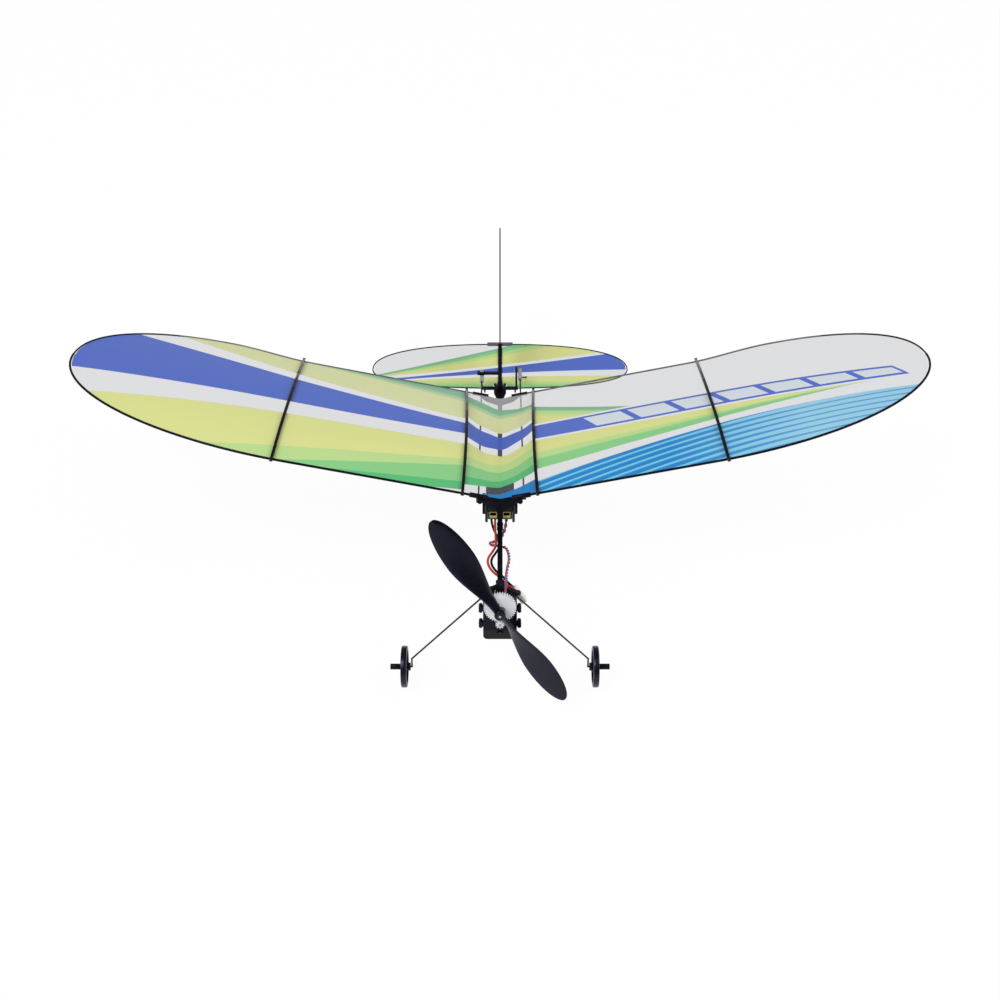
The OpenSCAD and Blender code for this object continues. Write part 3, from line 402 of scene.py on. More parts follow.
class Graph:
    """Lays out shader nodes in one tree."""

    def __init__(self, tree: bpy.types.NodeTree) -> None:
        """Keeps the tree that the nodes go into."""
        self.tree = tree

    def feed(self, target: Socket, value: Value) -> None:
        """Links a socket to a target, or sets a constant on it.

        Args:
            target: Input to feed.
            value: A node's output, a number or a colour.
        """
        if isinstance(value, Socket):
            self.tree.links.new(value, target)
        elif isinstance(value, tuple) and target.type == "RGBA":
            target.default_value = (*value, 1.0)
        else:
            target.default_value = value

    def math(self, kind: str, *values: Value, clamp: bool = False) -> Socket:
        """Adds a math node.

        Args:
            kind: Its operation.
            values: Up to three values that it works on.
            clamp: Whether its result is kept from 0 to 1.

        Returns:
            Its result.
        """
        made = self.tree.nodes.new("ShaderNodeMath")
        made.operation, made.use_clamp = kind, clamp
        for target, value in zip(made.inputs, values):
            self.feed(target, value)
        return made.outputs[0]

    def minus(self, value: Value, other: Value) -> Socket:
        """Returns a value less another."""
        return self.math("SUBTRACT", value, other)

    def times(self, value: Value, other: Value) -> Socket:
        """Returns a value times another."""
        return self.math("MULTIPLY", value, other)

    def scaled(self, value: Value, gain: Value, offset: Value) -> Socket:
        """Returns a value times a gain, plus an offset."""
        return self.math("MULTIPLY_ADD", value, gain, offset)

    def mix(self, share: Value, low: Value, high: Value) -> Socket:
        """Mixes two colours.

        Args:
            share: Share of the second colour.
            low: First colour.
            high: Second colour.

        Returns:
            The mixed colour.
        """
        made = self.tree.nodes.new("ShaderNodeMix")
        made.data_type = "RGBA"
        self.feed(made.inputs[0], share)
        self.feed(made.inputs[6], low)
        self.feed(made.inputs[7], high)
        return made.outputs[2]

    def blend(self, share: Socket, low: Value, high: float) -> Socket:
        """Moves a value towards another by a share and returns it."""
        return self.scaled(share, self.minus(high, low), low)

    def curve(self, u: Socket, a: float, b: float, c: float) -> Socket:
        """Returns a + b u + c u squared."""
        return self.scaled(self.scaled(u, c, b), u, a)

    def past(self, value: Value, edge: Value, soft: float = SOFT_EDGE) -> Socket:
        """Returns 1 where a value is past an edge and 0 where it isn't, with a soft step."""
        return self.math("MULTIPLY_ADD", self.minus(value, edge), 1.0 / soft, 0.5, clamp=True)

    def cell(self, value: Socket, pitch: float) -> Socket:
        """Returns how far a value is through its cell, from 0 to 1, where cells repeat at a pitch."""
        return self.math("FRACT", self.times(value, 1 / pitch))

    def noise(self, where: Socket, scale: Value, detail: float) -> Socket:
        """Adds a noise texture.

        Args:
            where: Coordinates.
            scale: Scale of the noise.
            detail: Its detail.

        Returns:
            Its value.
        """
        made = self.tree.nodes.new("ShaderNodeTexNoise")
        self.feed(made.inputs["Vector"], where)
        self.feed(made.inputs["Scale"], scale)
        made.inputs["Detail"].default_value = detail
        return made.outputs[0]

    def bump(self, height: Socket, strength: Value, distance: float) -> Socket:
        """Adds a bump node.

        Args:
            height: Height of the surface, from 0 to 1.
            strength: Strength of the bump.
            distance: Height in metres that 1 stands for.

        Returns:
            Its normal.
        """
        made = self.tree.nodes.new("ShaderNodeBump")
        made.inputs["Distance"].default_value = distance
        self.feed(made.inputs["Strength"], strength)
        self.feed(made.inputs["Height"], height)
        return made.outputs[0]

    def group(self, tree: bpy.types.NodeTree) -> bpy.types.Node:
        """Adds a group node.

        Args:
            tree: The group.

        Returns:
            The node.
        """
        made = self.tree.nodes.new("ShaderNodeGroup")
        made.node_tree = tree
        return made


def node_group(name: str, takes: Dict[str, str], gives: Dict[str, str]) -> Tuple[Graph, Sockets, Sockets]:
    """Starts a shader node group.

    Args:
        name: Name of the group.
        takes: Kind of each input by name: Float, Color or Vector.
        gives: Kind of each output by name.

    Returns:
        The group's graph, the sockets that bring its inputs and those that take its outputs.
    """
    tree = bpy.data.node_groups.new(name, "ShaderNodeTree")
    for way, names in (("INPUT", takes), ("OUTPUT", gives)):
        for label, kind in names.items():
            tree.interface.new_socket(label, in_out=way, socket_type=f"NodeSocket{kind}")
    start, end = tree.nodes.new("NodeGroupInput"), tree.nodes.new("NodeGroupOutput")
    return Graph(tree), {k: start.outputs[k] for k in takes}, {k: end.inputs[k] for k in gives}


def new_material(name: str) -> Tuple[bpy.types.Material, Graph]:
    """Makes a material with nodes.

    Args:
        name: Its name.

    Returns:
        The material and its graph.
    """
    made = bpy.data.materials.new(name)
    made.use_nodes = True
    return made, Graph(made.node_tree)


class GrainGroup:
    """Shared surface effect: slow colour change, handled gloss and fine grain."""

    COLOUR_SCALE = 160.0
    COLOUR_GAIN = 2.6
    GLOSS_SCALE = 420.0
    GLOSS_SPREAD = 0.3
    GRAIN_HEIGHT = 0.00006
    _tree: Optional[bpy.types.NodeTree] = None

    @classmethod
    def tree(cls) -> bpy.types.NodeTree:
        """Builds the group once.

        Returns:
            The group: noise at three scales of the Object coordinates drives colour, gloss and bump.
        """
        if cls._tree is None:
            graph, takes, gives = node_group(
                "FineGrain",
                {"Base": "Color", "Worn": "Color", "Scale": "Float", "Rough": "Float", "Depth": "Float"},
                {"Color": "Color", "Roughness": "Float", "Normal": "Vector"},
            )
            where = graph.tree.nodes.new("ShaderNodeTexCoord").outputs["Object"]
            slow = graph.noise(where, cls.COLOUR_SCALE, 4.0)
            share = graph.math("MULTIPLY_ADD", slow, cls.COLOUR_GAIN, 0.5 - cls.COLOUR_GAIN / 2, clamp=True)
            graph.feed(gives["Color"], graph.mix(share, takes["Base"], takes["Worn"]))
            gloss = graph.noise(where, cls.GLOSS_SCALE, 3.0)
            gloss = graph.scaled(gloss, cls.GLOSS_SPREAD, -cls.GLOSS_SPREAD / 2)
            graph.feed(gives["Roughness"], graph.math("ADD", takes["Rough"], gloss, clamp=True))
            grain = graph.noise(where, takes["Scale"], 3.0)
            graph.feed(gives["Normal"], graph.bump(grain, takes["Depth"], cls.GRAIN_HEIGHT))
            cls._tree = graph.tree
        return cls._tree


# Bluish tint of the highlights on black pieces
COOL: Colour = (0.65, 0.66, 1.0)


@dataclass(frozen=True)
class Finish:
    """A plain finish with grain."""

    name: str
    base: Colour
    worn: Colour
    rough: float
    metal: float = 0.0
    spec: float = 0.5
    scale: float = 2600.0
    depth: float = 0.25
    tint: Colour = (1.0, 1.0, 1.0)

    def material(self) -> bpy.types.Material:
        """Makes the finish's material, or finds it.

        Returns:
            The material: constants on the shader, and the grain on its colour, gloss and normal.
        """
        found = bpy.data.materials.get(self.name)
        if found:
            return found
        made, graph = new_material(self.name)
        shader = graph.tree.nodes["Principled BSDF"].inputs
        grain = graph.group(GrainGroup.tree())
        for target, value in (
            (shader["Metallic"], self.metal), (shader["Specular IOR Level"], self.spec),
            (shader["Specular Tint"], self.tint), (grain.inputs["Base"], self.base),
            (grain.inputs["Worn"], self.worn), (grain.inputs["Scale"], self.scale),
            (grain.inputs["Rough"], self.rough), (grain.inputs["Depth"], self.depth),
            (shader["Base Color"], grain.outputs["Color"]),
            (shader["Roughness"], grain.outputs["Roughness"]), (shader["Normal"], grain.outputs["Normal"]),
        ):
            graph.feed(target, value)
        return made


class Finishes(Enum):
    """Finishes of the rods, mouldings, metals and wires; two rod greys are painted sheen and the sockets'
    hollow colour is painted shade.
    """

    CARBON = Finish("CarbonRod", srgb(7, 7, 11), srgb(14, 14, 19), 0.42,
                    spec=0.2, scale=5200.0, depth=0.3, tint=COOL)
    # Painted sheen: the next two greys stand for the light that black carbon rods reflect at a grazing angle
    SHEEN_ROD = Finish("RodPaintedSheen", srgb(108, 108, 114), srgb(88, 88, 94), 0.42,
                      spec=0.3, scale=5200.0, depth=0.3)
    HALF_SHEEN_ROD = Finish("RodHalfPaintedSheen", srgb(58, 58, 64), srgb(46, 46, 52), 0.42,
                     spec=0.25, scale=5200.0, depth=0.3)
    MOULDED = Finish("BlackMoulding", srgb(6, 6, 11), srgb(13, 13, 19), 0.4, spec=0.26, tint=COOL)
    RIB = Finish("RibBlack", srgb(6, 6, 10), srgb(12, 12, 17), 0.18, spec=0.7, depth=0.1)
    CASE = Finish("HousingBlack", srgb(18, 19, 26), srgb(26, 27, 34), 0.42, spec=0.3)
    BLADE = Finish("BladeBlack", srgb(4, 4, 12), srgb(9, 9, 19), 0.22, spec=0.44, depth=0.08, tint=COOL)
    RIM = Finish("WheelBlack", srgb(10, 10, 22), srgb(17, 17, 31), 0.3, spec=0.48, depth=0.1, tint=COOL)
    GEAR = Finish("WhiteGear", srgb(226, 227, 231), srgb(214, 215, 220), 0.42, spec=0.3, depth=0.15)
    LEG = Finish("LegWire", srgb(84, 78, 74), srgb(112, 104, 98), 0.34, metal=1.0, scale=6000.0)
    BRIGHT = Finish("BrightSteel", srgb(186, 186, 190), srgb(170, 168, 168), 0.28, metal=1.0, scale=6000.0)
    BRASS = Finish("Brass", srgb(204, 166, 92), srgb(184, 140, 70), 0.3, metal=1.0, scale=6000.0)
    BOARD = Finish("BoardGreen", srgb(46, 118, 56), srgb(34, 96, 46), 0.34, spec=0.3, scale=3000.0)
    IVORY = Finish("SocketIvory", srgb(206, 192, 130), srgb(190, 172, 108), 0.42, spec=0.3)
    # Painted shade: dark brown stands for the shadow inside the ivory sockets' holes
    SOCKET_SHADE = Finish("SocketPaintedShade", srgb(50, 36, 24), srgb(34, 24, 16), 0.6, spec=0.1)
    FOAM = Finish("FoamTape", srgb(52, 52, 54), srgb(40, 40, 43), 0.9, spec=0.1, depth=0.8)
    GREY = Finish("GreySleeve", srgb(160, 161, 167), srgb(140, 141, 148), 0.42, spec=0.35)
    PLUG = Finish("PlugWhite", srgb(236, 236, 234), srgb(224, 224, 218), 0.38)
    RED_WIRE = Finish("RedWire", srgb(210, 66, 42), srgb(190, 50, 34), 0.48, spec=0.3)
    BLACK_WIRE = Finish("BlackWire", srgb(14, 14, 16), srgb(24, 24, 26), 0.48, spec=0.25)
    BLUE_WIRE = Finish("BlueWire", srgb(58, 118, 190), srgb(44, 98, 168), 0.48, spec=0.3)

    def material(self) -> bpy.types.Material:
        """The finish's material."""
        return self.value.material()


@dataclass(frozen=True)
class Field:
    """A field of colour behind the edge t = a + b u + c u squared, in millimetres."""

    a: float
    b: float
    c: float
    ink: Ink
    soft: float = SOFT_EDGE


@dataclass(frozen=True)
class Stripes:
    """Fine lines along a panel's front field and slanted dashes along its middle, in millimetres.

    Towards the tip the lines widen and the ground pales. Each band of the dashes gives how far it
    reaches past the row's edge, where along the panel it starts and stops, and its ink.
    """

    fade_middle: float = 98.0
    fade_width: float = 56.0
    ground_fade: float = 0.3
    line_pitch: float = 3.9
    line_slope: float = 0.03
    line_share: float = 0.34
    line_growth: float = 0.4
    line_soft: float = 0.1
    row_middle: Tuple[float, float, float] = (50.0, 0.015, 0.0)
    row_half: Tuple[float, float, float] = (6.6, 0.025, -0.0002)
    slant: float = 0.5
    dash_pitch: float = 19.0
    dash_gap: float = 1.5
    bands: Tuple[Tuple[float, float, float, Ink], ...] = (
        (1.9, -9.0, 210.0, Ink.PALE), (0.0, -9.0, 171.0, Ink.BLUE), (-1.9, 38.0, 171.0, Ink.MIST))

    def lines(self, graph: Graph, u: Socket, depth: Socket, base: Ink) -> Socket:
        """Draws the fine lines: they repeat with the distance from the front field's edge.

        Args:
            graph: Graph to add to.
            u: Distance along the panel.
            depth: Distance in front of the field's edge.
            base: Ink of the field.

        Returns:
            Colour of the field.
        """
        outer = graph.past(u, self.fade_middle, self.fade_width)
        ground = graph.mix(graph.times(outer, self.ground_fade), base.value, Ink.SKY.value)
        phase = graph.cell(graph.scaled(u, self.line_slope, depth), self.line_pitch)
        share = graph.scaled(outer, self.line_growth, self.line_share)
        light = graph.mix(outer, Ink.LINE.value, Ink.SKY.value)
        return graph.mix(graph.past(share, phase, self.line_soft), ground, light)

    def dashes(self, graph: Graph, u: Socket, t: Socket, colour: Value,
               cover: Value) -> Tuple[Socket, Socket]:
        """Draws the row of dashes: slanted cells between two curves, with gaps at the cells' ends.

        Args:
            graph: Graph to add to.
            u: Distance along the panel.
            t: Distance along the chord.
            colour: Colour so far.
            cover: How far the film is printed so far.

        Returns:
            The colour and the cover with the dashes.
        """
        off_middle = graph.minus(t, graph.curve(u, *self.row_middle))
        along = graph.scaled(off_middle, self.slant, u)
        room = graph.minus(graph.curve(u, *self.row_half), graph.math("ABSOLUTE", off_middle))
        place = graph.times(graph.cell(along, self.dash_pitch), self.dash_pitch)
        half = self.dash_pitch / 2
        wall = graph.minus(half, graph.math("ABSOLUTE", graph.minus(place, half)))
        for grow, start, stop, ink in self.bands:
            here = graph.past(room, -grow)
            here = graph.times(here, graph.past(stop, along))
            here = graph.times(here, graph.past(along, start))
            if ink is Ink.MIST:
                here = graph.times(here, graph.past(wall, self.dash_gap))
            colour = graph.mix(here, colour, ink.value)
            cover = graph.blend(here, cover, ink.cover)
        return colour, cover


@dataclass(frozen=True)
class FilmPrint:
    """A thin film with plain printed fields, computed from the film's own chart."""

    name: str
    base: Ink
    fields: Tuple[Field, ...]
    u_scale: float
    t_scale: float
    u_start: float = 0.0
    stripes: Optional[Stripes] = None
    bare: float = 0.34
    inked: float = 0.985
    hatch_slope: float = 0.25
    hatch_pitch: float = 1.5
    hatch_share: float = 0.42
    hatch_depth: float = 0.35
    spec: float = 0.12
    rough: float = 0.3
    rough_spread: float = 0.2
    rough_scale: float = 55.0
    ripple_scale: float = 90.0
    ripple_strength: float = 0.25
    ripple_height: float = 0.0004

    def print_group(self) -> bpy.types.NodeTree:
        """Builds the film's print as a group from its UV chart.

        Returns:
            The group: each field covers the ones before it from its edge back, blue is hatched, and the
            bare film lets more light through than the printed one.
        """
        graph, takes, gives = node_group(
            self.name + "Print", {"Chart": "Vector"}, {"Color": "Color", "Alpha": "Float"})
        split = graph.tree.nodes.new("ShaderNodeSeparateXYZ")
        graph.feed(split.inputs[0], takes["Chart"])
        u = graph.scaled(split.outputs["X"], self.u_scale, self.u_start)
        t = graph.times(split.outputs["Y"], self.t_scale)
        colour: Value = self.base.value
        cover: Value = self.base.cover
        slope = graph.scaled(t, self.hatch_slope, u)
        hatch = graph.math("LESS_THAN", graph.cell(slope, self.hatch_pitch), self.hatch_share)
        hatched = graph.mix(graph.times(hatch, self.hatch_depth), Ink.BLUE.value, Ink.NAVY.value)
        for field in self.fields:
            behind = graph.past(t, graph.curve(u, field.a, field.b, field.c), field.soft)
            colour = graph.mix(behind, colour, hatched if field.ink is Ink.BLUE else field.ink.value)
            cover = graph.blend(behind, cover, field.ink.cover)
        if self.stripes:
            front = self.fields[0]
            depth = graph.minus(graph.curve(u, front.a, front.b, front.c), t)
            inside = graph.past(depth, 0.0)
            colour = graph.mix(inside, colour, self.stripes.lines(graph, u, depth, self.base))
            cover = graph.blend(inside, cover, 1.0)
            colour, cover = self.stripes.dashes(graph, u, t, colour, cover)
        graph.feed(gives["Color"], colour)
        graph.feed(gives["Alpha"], graph.scaled(cover, self.inked - self.bare, self.bare))
        return graph.tree

    def material(self) -> bpy.types.Material:
        """Makes the film's material.

        Returns:
            The material: the print, a soft gloss and faint ripples.
        """
        made, graph = new_material(self.name)
        nodes = graph.tree.nodes
        shader = nodes["Principled BSDF"].inputs
        shader["Specular IOR Level"].default_value = self.spec
        chart = nodes.new("ShaderNodeUVMap")
        chart.uv_map = "UVMap"
        printed = graph.group(self.print_group())
        graph.feed(printed.inputs[0], chart.outputs[0])
        graph.feed(shader["Base Color"], printed.outputs["Color"])
        graph.feed(shader["Alpha"], printed.outputs["Alpha"])
        where = nodes.new("ShaderNodeTexCoord").outputs["Object"]
        gloss = graph.noise(where, self.rough_scale, 2.0)
        graph.feed(shader["Roughness"], graph.scaled(gloss, self.rough_spread, self.rough))
        height = graph.noise(where, self.ripple_scale, 2.0)
        graph.feed(shader["Normal"], graph.bump(height, self.ripple_strength, self.ripple_height))
        return made


def settle(piece: bpy.types.Object, body: Body, slot: str, finish: bpy.types.Material,
           *stands_for: str) -> None:
    """Gives a new piece its material and body, and hides the CAD nodes that it stands for.

    Args:
        piece: The piece.
        body: CAD body that it rides on.
        slot: Not used.
        finish: Its material.
        stands_for: CAD nodes that it stands for.
    """
    piece.data.materials.append(finish)
    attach(piece, body.value)
    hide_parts(*stands_for)
    LOG.info("%s: %d faces, rides on %s", piece.name, len(piece.data.polygons), body.value)


def face_centres(piece: bpy.types.Object) -> np.ndarray:
    """Reads the centres of a piece's faces.

    Args:
        piece: The piece.

    Returns:
        The centres in the piece's own frame, faces by 3.
    """
    centres = np.empty(3 * len(piece.data.polygons), np.float32)
    piece.data.polygons.foreach_get("center", centres)
    return centres.reshape(-1, 3)


def repaint(piece: bpy.types.Object, numbers: np.ndarray, *finishes: Finishes) -> None:
    """Adds finishes to a piece that has one, and gives each face one of them.

    Args:
        piece: The piece.
        numbers: For each face 0 for the piece's first finish, 1 for the next one, and so on.
        finishes: The finishes to add.
    """
    for finish in finishes:
        piece.data.materials.append(finish.material())
    piece.data.polygons.foreach_set("material_index", numbers.astype(np.int32))


def stretch(piece: bpy.types.Object, flat: Tuple[float, float]) -> None:
    """Logs a film's area and the size of the flat rectangle that it is cut from.

    Args:
        piece: The film.
        flat: Width and length of the rectangle that it is cut from, in metres.
    """
    area = float(sum(face.area for face in piece.data.polygons))
    LOG.info("%s: flat %.1f x %.1f mm, area %.1f cm2", piece.name, flat[0] * 1e3, flat[1] * 1e3, area * 1e4)


@dataclass
class Wiring:
    """The battery lead's two wires and the motor's twisted pair."""

    battery_d: float = 0.95
    battery_step: float = 0.3
    battery_sides: int = 14
    pair_d: float = 1.3
    pair_step: float = 0.2
    pair_sides: int = 10
    twist: float = 5.6
    samples: int = 24
    guide: Point = (0.5, 0.1, 0.85)
    red: Route = (
        (-1.9, 3.6, 1.9), (-1.95, 3.3, 1), (-2, 2.4, 0.2), (-2, 0.8, -0.5), (-1.95, -1, -1),
        (-1.75, -4, -1.2), (-1.7, -7, -1.3), (-1.65, -10, -1.3), (-1.8, -14, -1.2), (-3, -18.5, -1),
        (-4.4, -23, -0.8), (-4.7, -26.5, -0.8), (-4.1, -29.6, -1), (-2.6, -32.6, -1.5),
        (-0.7, -35, -1.8), (0.9, -37.6, -1.9), (2.1, -40.3, -2.05), (3.3, -41.8, -2),
        (4.3, -42.4, -2.1), (4.97, -42.5, -2.84))
    black: Route = (
        (-3.5, 3.6, 1.9), (-3.4, 3.3, 0.8), (-3.1, 2.3, -0.6), (-2.5, 0.6, -1.8),
        (-1.8, -1.4, -2.4), (-1.1, -4, -2.3), (-0.7, -7, -2), (-0.6, -9.5, -1.85),
        (-0.5, -14, -1.7), (-1.7, -18.5, -1.5), (-3.1, -23, -1.3), (-3.3, -26.3, -1.3),
        (-2.6, -29.2, -1.5), (-1.2, -31.6, -2), (0.6, -34, -2.2), (2, -36.6, -2.2),
        (3.1, -39.2, -2.1), (3.9, -40.7, -2.05), (4.45, -41.4, -2.15), (4.97, -41.5, -2.84))
    pair: Route = (
        (2.6, 3.6, 1.9), (2.55, 3.3, 0.9), (2.35, 2.3, -0.3), (2.1, 0.7, -1.3), (1.5, -1.1, -2.2),
        (0.5, -3.3, -3.1), (-0.9, -5.1, -3.5), (-2.4, -6.3, -3.5), (-3.6, -7.2, -3.3),
        (-4, -8.3, -3.1), (-3.5, -9.4, -3), (-2.2, -9.9, -3.1), (-0.4, -10.2, -3.2),
        (1.2, -11.2, -2.9), (2.2, -13.2, -2.2), (2.9, -16, -1.6), (3.4, -20.5, -1),
        (3.5, -25.5, -0.6), (2.9, -31, -0.4), (2.6, -35, 0), (2.4, -39, 0.6), (2.4, -42, 1.2),
        (2.4, -45, 1.9), (2.2, -47.3, 1.2), (2, -48.8, -0.4), (2, -49.2, -1.8), (2, -49.2, -3.6),
        (2, -49.2, -5.5))

    def smooth(self, route: Route, step: float) -> np.ndarray:
        """Draws a centripetal Catmull-Rom line through a route and spaces it evenly.

        Args:
            route: Points of the route.
            step: Distance between the points returned.

        Returns:
            Points of the line.
        """
        p = np.asarray(route, float)
        p = np.vstack([2 * p[0] - p[1], p, 2 * p[-1] - p[-2]])
        k = np.concatenate([[0], np.cumsum(np.sqrt(np.linalg.norm(np.diff(p, axis=0), axis=1)))])
        share = np.linspace(0, 1, self.samples, endpoint=False)
        p0, p1, p2, p3 = (p[i : len(p) - 3 + i, None, :] for i in range(4))
        k0, k1, k2, k3 = (k[i : len(k) - 3 + i, None, None] for i in range(4))
        t = k1 + share[None, :, None] * (k2 - k1)

        def between(a: np.ndarray, b: np.ndarray, ka: np.ndarray, kb: np.ndarray) -> np.ndarray:
            """Point at t on the line from a at ka to b at kb."""
            return ((kb - t) * a + (t - ka) * b) / (kb - ka)

        a1, a2, a3 = between(p0, p1, k0, k1), between(p1, p2, k1, k2), between(p2, p3, k2, k3)
        line = between(between(a1, a2, k0, k2), between(a2, a3, k1, k3), k1, k2)
        line = np.vstack([line.reshape(-1, 3), p[-2:-1]])
        run = Curve.run(line)
        want = np.linspace(0, run[-1], int(run[-1] / step))
        return np.stack([np.interp(want, run, line[:, axis]) for axis in range(3)], -1)

    @staticmethod
    def declare(piece: bpy.types.Object, path: np.ndarray, diameter: float, far_end: str,
                with_pieces: Sequence[bpy.types.Object]) -> None:
        """Logs a wire's length along its centreline.

        Args:
            piece: The wire.
            path: Level points of its centreline, in millimetres.
            diameter: Not used.
            far_end: Not used.
            with_pieces: Not used.
        """
        line = STANCE.place(path)
        length = float(Curve.run(line)[-1])
        LOG.info("%s: %.1f mm long", piece.name, length * 1e3)

    def build(self, nodes: Dict[str, bpy.types.Object]) -> None:
        """Args:
            nodes: CAD nodes by name.
        """
        wires = (("red", self.red, Finishes.RED_WIRE), ("black", self.black, Finishes.BLACK_WIRE))
        for name, route, finish in wires:
            path = self.smooth(route, self.battery_step)
            tube = Surface.tube(path, self.battery_d / 2, self.guide, self.battery_sides)
            wire = Surface.solid(f"{name}_wire", tube)
            settle(wire, Body.AIRFRAME, f"wire_{name}", finish.material(), f"battery_lead_{name}")
            self.declare(wire, path, self.battery_d, "connector", [nodes["battery_plug"]])
        path = self.smooth(self.pair, self.pair_step)
        first, second = Surface.spokes(path, self.guide)
        turn = (Curve.run(path) / self.twist * 2 * math.pi)[:, None]
        radius = self.pair_d / 4
        swing = radius * (np.cos(turn) * first + np.sin(turn) * second)
        strands = [Surface.tube(path + side * swing, radius, self.guide, self.pair_sides) for side in (1, -1)]
        wire = Surface.solid("motor_pair", Surface.joined(strands))
        settle(wire, Body.AIRFRAME, "wire_pair", Finishes.RED_WIRE.material(), "motor_lead")
        second_strand = np.arange(len(wire.data.polygons)) >= len(strands[0][1])
        repaint(wire, second_strand, Finishes.BLUE_WIRE)
        self.declare(wire, path, self.pair_d, "object", [])


@dataclass
class Wing:
    """The wing's films and bent rods.

    Each crease gives its place on the chord at the root, its slope, its width, its height and the
    station of its middle. The flat sizes are in metres.
    """

    panel_len: float = 185.0
    chord: float = 104.5
    sweep: float = 5.5
    tip_aft: float = 66.0
    straight: float = 87.0
    te_turn: float = 124.5
    tip_power: float = 2.3
    dihedral: float = math.radians(11.5)
    incidence: float = math.radians(1.6)
    camber: float = 4.0
    crest: float = 0.4
    height: float = 12.0
    sag: float = 5.5
    inner_rib: float = 15.3
    outer_rib: float = 91.0
    rod_root: float = 5.1
    le_rod_r: float = 0.5
    te_rod_r: float = 0.38
    rod_gap: float = 0.2
    glue_gap: float = 0.05
    film_gap: float = 0.2
    le_socket_r: float = 1.0
    te_socket_r: float = 0.78
    # Distances from the middle, in millimetres, where the rear rod's painted sheen steps down to mid-grey and
    # then to black
    sheen_stations: Tuple[float, float] = (146.0, 162.0)
    sag_wave: float = 0.25
    wave_rates: Tuple[float, float] = (9.0, 7.0)
    creases: Tuple[Tuple[float, ...], ...] = (
        (34, -0.3, 5, 0.32, 40), (24, -0.1, 4, -0.25, 50), (70, 0.12, 6, 0.2, 55))
    crease_span: Tuple[float, float] = (17.0, 88.0)
    crease_chord: Tuple[float, float] = (4.0, 100.0)
    crease_fade: float = 12.0
    crease_root: float = 16.0
    crease_reach: float = 26.0
    left_creases: float = 0.7
    tip_steps: int = 60
    bay_steps: int = 50
    chord_steps: int = 61
    centre_steps: int = 41
    root_steps: int = 12
    bend_steps: int = 14
    le_sides: int = 16
    te_sides: int = 12
    panel_flat: Tuple[float, float] = (0.1095, 0.1690)
    centre_flat: Tuple[float, float] = (0.0345, 0.1045)
    u_scale: float = 200.0
    t_scale: float = 120.0
    mid_scale: float = 40.0

    def prints(self) -> Dict[str, FilmPrint]:
        """Lists the three films' plain fields, from the leading edge back.

        Returns:
            The films' prints by name.
        """
        left = (Field(3.2, 0.33, -0.00078, Ink.PALE), Field(14.0, 0.18, 0.00013, Ink.GREEN),
                Field(22.5, 0.13, 0.00013, Ink.LEAF, 1.5), Field(28.5, 0.085, 0.00013, Ink.LIME, 1.5),
                Field(80.5, -0.66, 0.0029, Ink.LEAF, 3.0), Field(86.5, -0.69, 0.0029, Ink.SAGE, 2.0),
                Field(92.0, -0.72, 0.0029, Ink.PALE))
        right = (Field(4.6, -0.13, 0.0, Ink.DEEP), Field(10.0, -0.13, 0.0, Ink.GREEN),
                 Field(24.0, -0.26, 0.0, Ink.LEAF), Field(28.0, -0.2, 0.0, Ink.LIME),
                 Field(38.2, 0.0, -0.00021, Ink.PALE), Field(49.4, -0.03, 0.00028, Ink.BLUE),
                 Field(58.6, 0.12, 0.00083, Ink.PALE), Field(64.6, 0.08, 0.00145, Ink.STRAW),
                 Field(85.5, 0.22, 0.0, Ink.MINT, 3.0), Field(91.0, 0.18, 0.0, Ink.SAGE, 4.0))
        centre = (Field(4.9, 0.37, 0.0, Ink.PALE), Field(11.2, 0.33, 0.0, Ink.DEEP),
                  Field(17.0, 0.33, 0.0, Ink.GREEN), Field(25.5, 0.28, 0.0, Ink.LEAF),
                  Field(33.0, 0.3, 0.0, Ink.LIME, 1.5), Field(43.0, 0.1, 0.0, Ink.PALE),
                  Field(50.0, 0.25, 0.0, Ink.NAVY), Field(63.5, -0.05, 0.0, Ink.PALE),
                  Field(68.0, -0.12, 0.0, Ink.STRAW), Field(83.0, -0.2, 0.0, Ink.MINT, 2.0),
                  Field(86.5, -0.22, 0.0, Ink.SAGE, 2.0), Field(92.0, -0.4, 0.0, Ink.VEIL))
        u, t, mid = self.u_scale, self.t_scale, self.mid_scale
        return {
            "left": FilmPrint("LeftFilm", Ink.SEA, left, u, t, stripes=Stripes()),
            "right": FilmPrint("RightFilm", Ink.PALE, right, u, t),
            "centre": FilmPrint("CentreFilm", Ink.SEA, centre, mid, t, -mid / 2),
        }

    def lead(self, u: np.ndarray, inset: float) -> np.ndarray:
        """Leading edge at stations u: straight, then a quarter ellipse, drawn in by inset."""
        x = Curve.ramp(u, self.straight, self.panel_len - self.straight - inset)
        return self.tip_aft - (self.tip_aft - inset) * np.sqrt(1 - x * x)

    def trail(self, u: np.ndarray, inset: float) -> np.ndarray:
        """Trailing edge: straight, a smooth step back, then a full rounded tip.

        Args:
            u: Stations along the panel.
            inset: How far the edge is drawn in.

        Returns:
            Its place along the chord.
        """
        k = Curve.ramp(u, self.straight, self.te_turn - self.straight)
        x = Curve.ramp(u, self.te_turn, self.panel_len - self.te_turn - inset)
        inner = self.chord - inset + self.sweep * Curve.step(k)
        tip = (self.chord + self.sweep - self.tip_aft - inset) * Curve.oval(x, self.tip_power)
        return np.where(u <= self.te_turn, inner, self.tip_aft + tip)

    def arch(self, f: np.ndarray) -> np.ndarray:
        """Rib's arch at share f of the chord: two parabolas that meet at the crest."""
        return 1 - ((f - self.crest) / np.where(f < self.crest, self.crest, 1 - self.crest)) ** 2

    def fade(self, u: np.ndarray) -> np.ndarray:
        """Share of the arch left at stations u: all to the outer rib, then a parabola to none."""
        return 1 - (np.clip(u - self.outer_rib, 0, None) / (self.panel_len - self.outer_rib)) ** 2

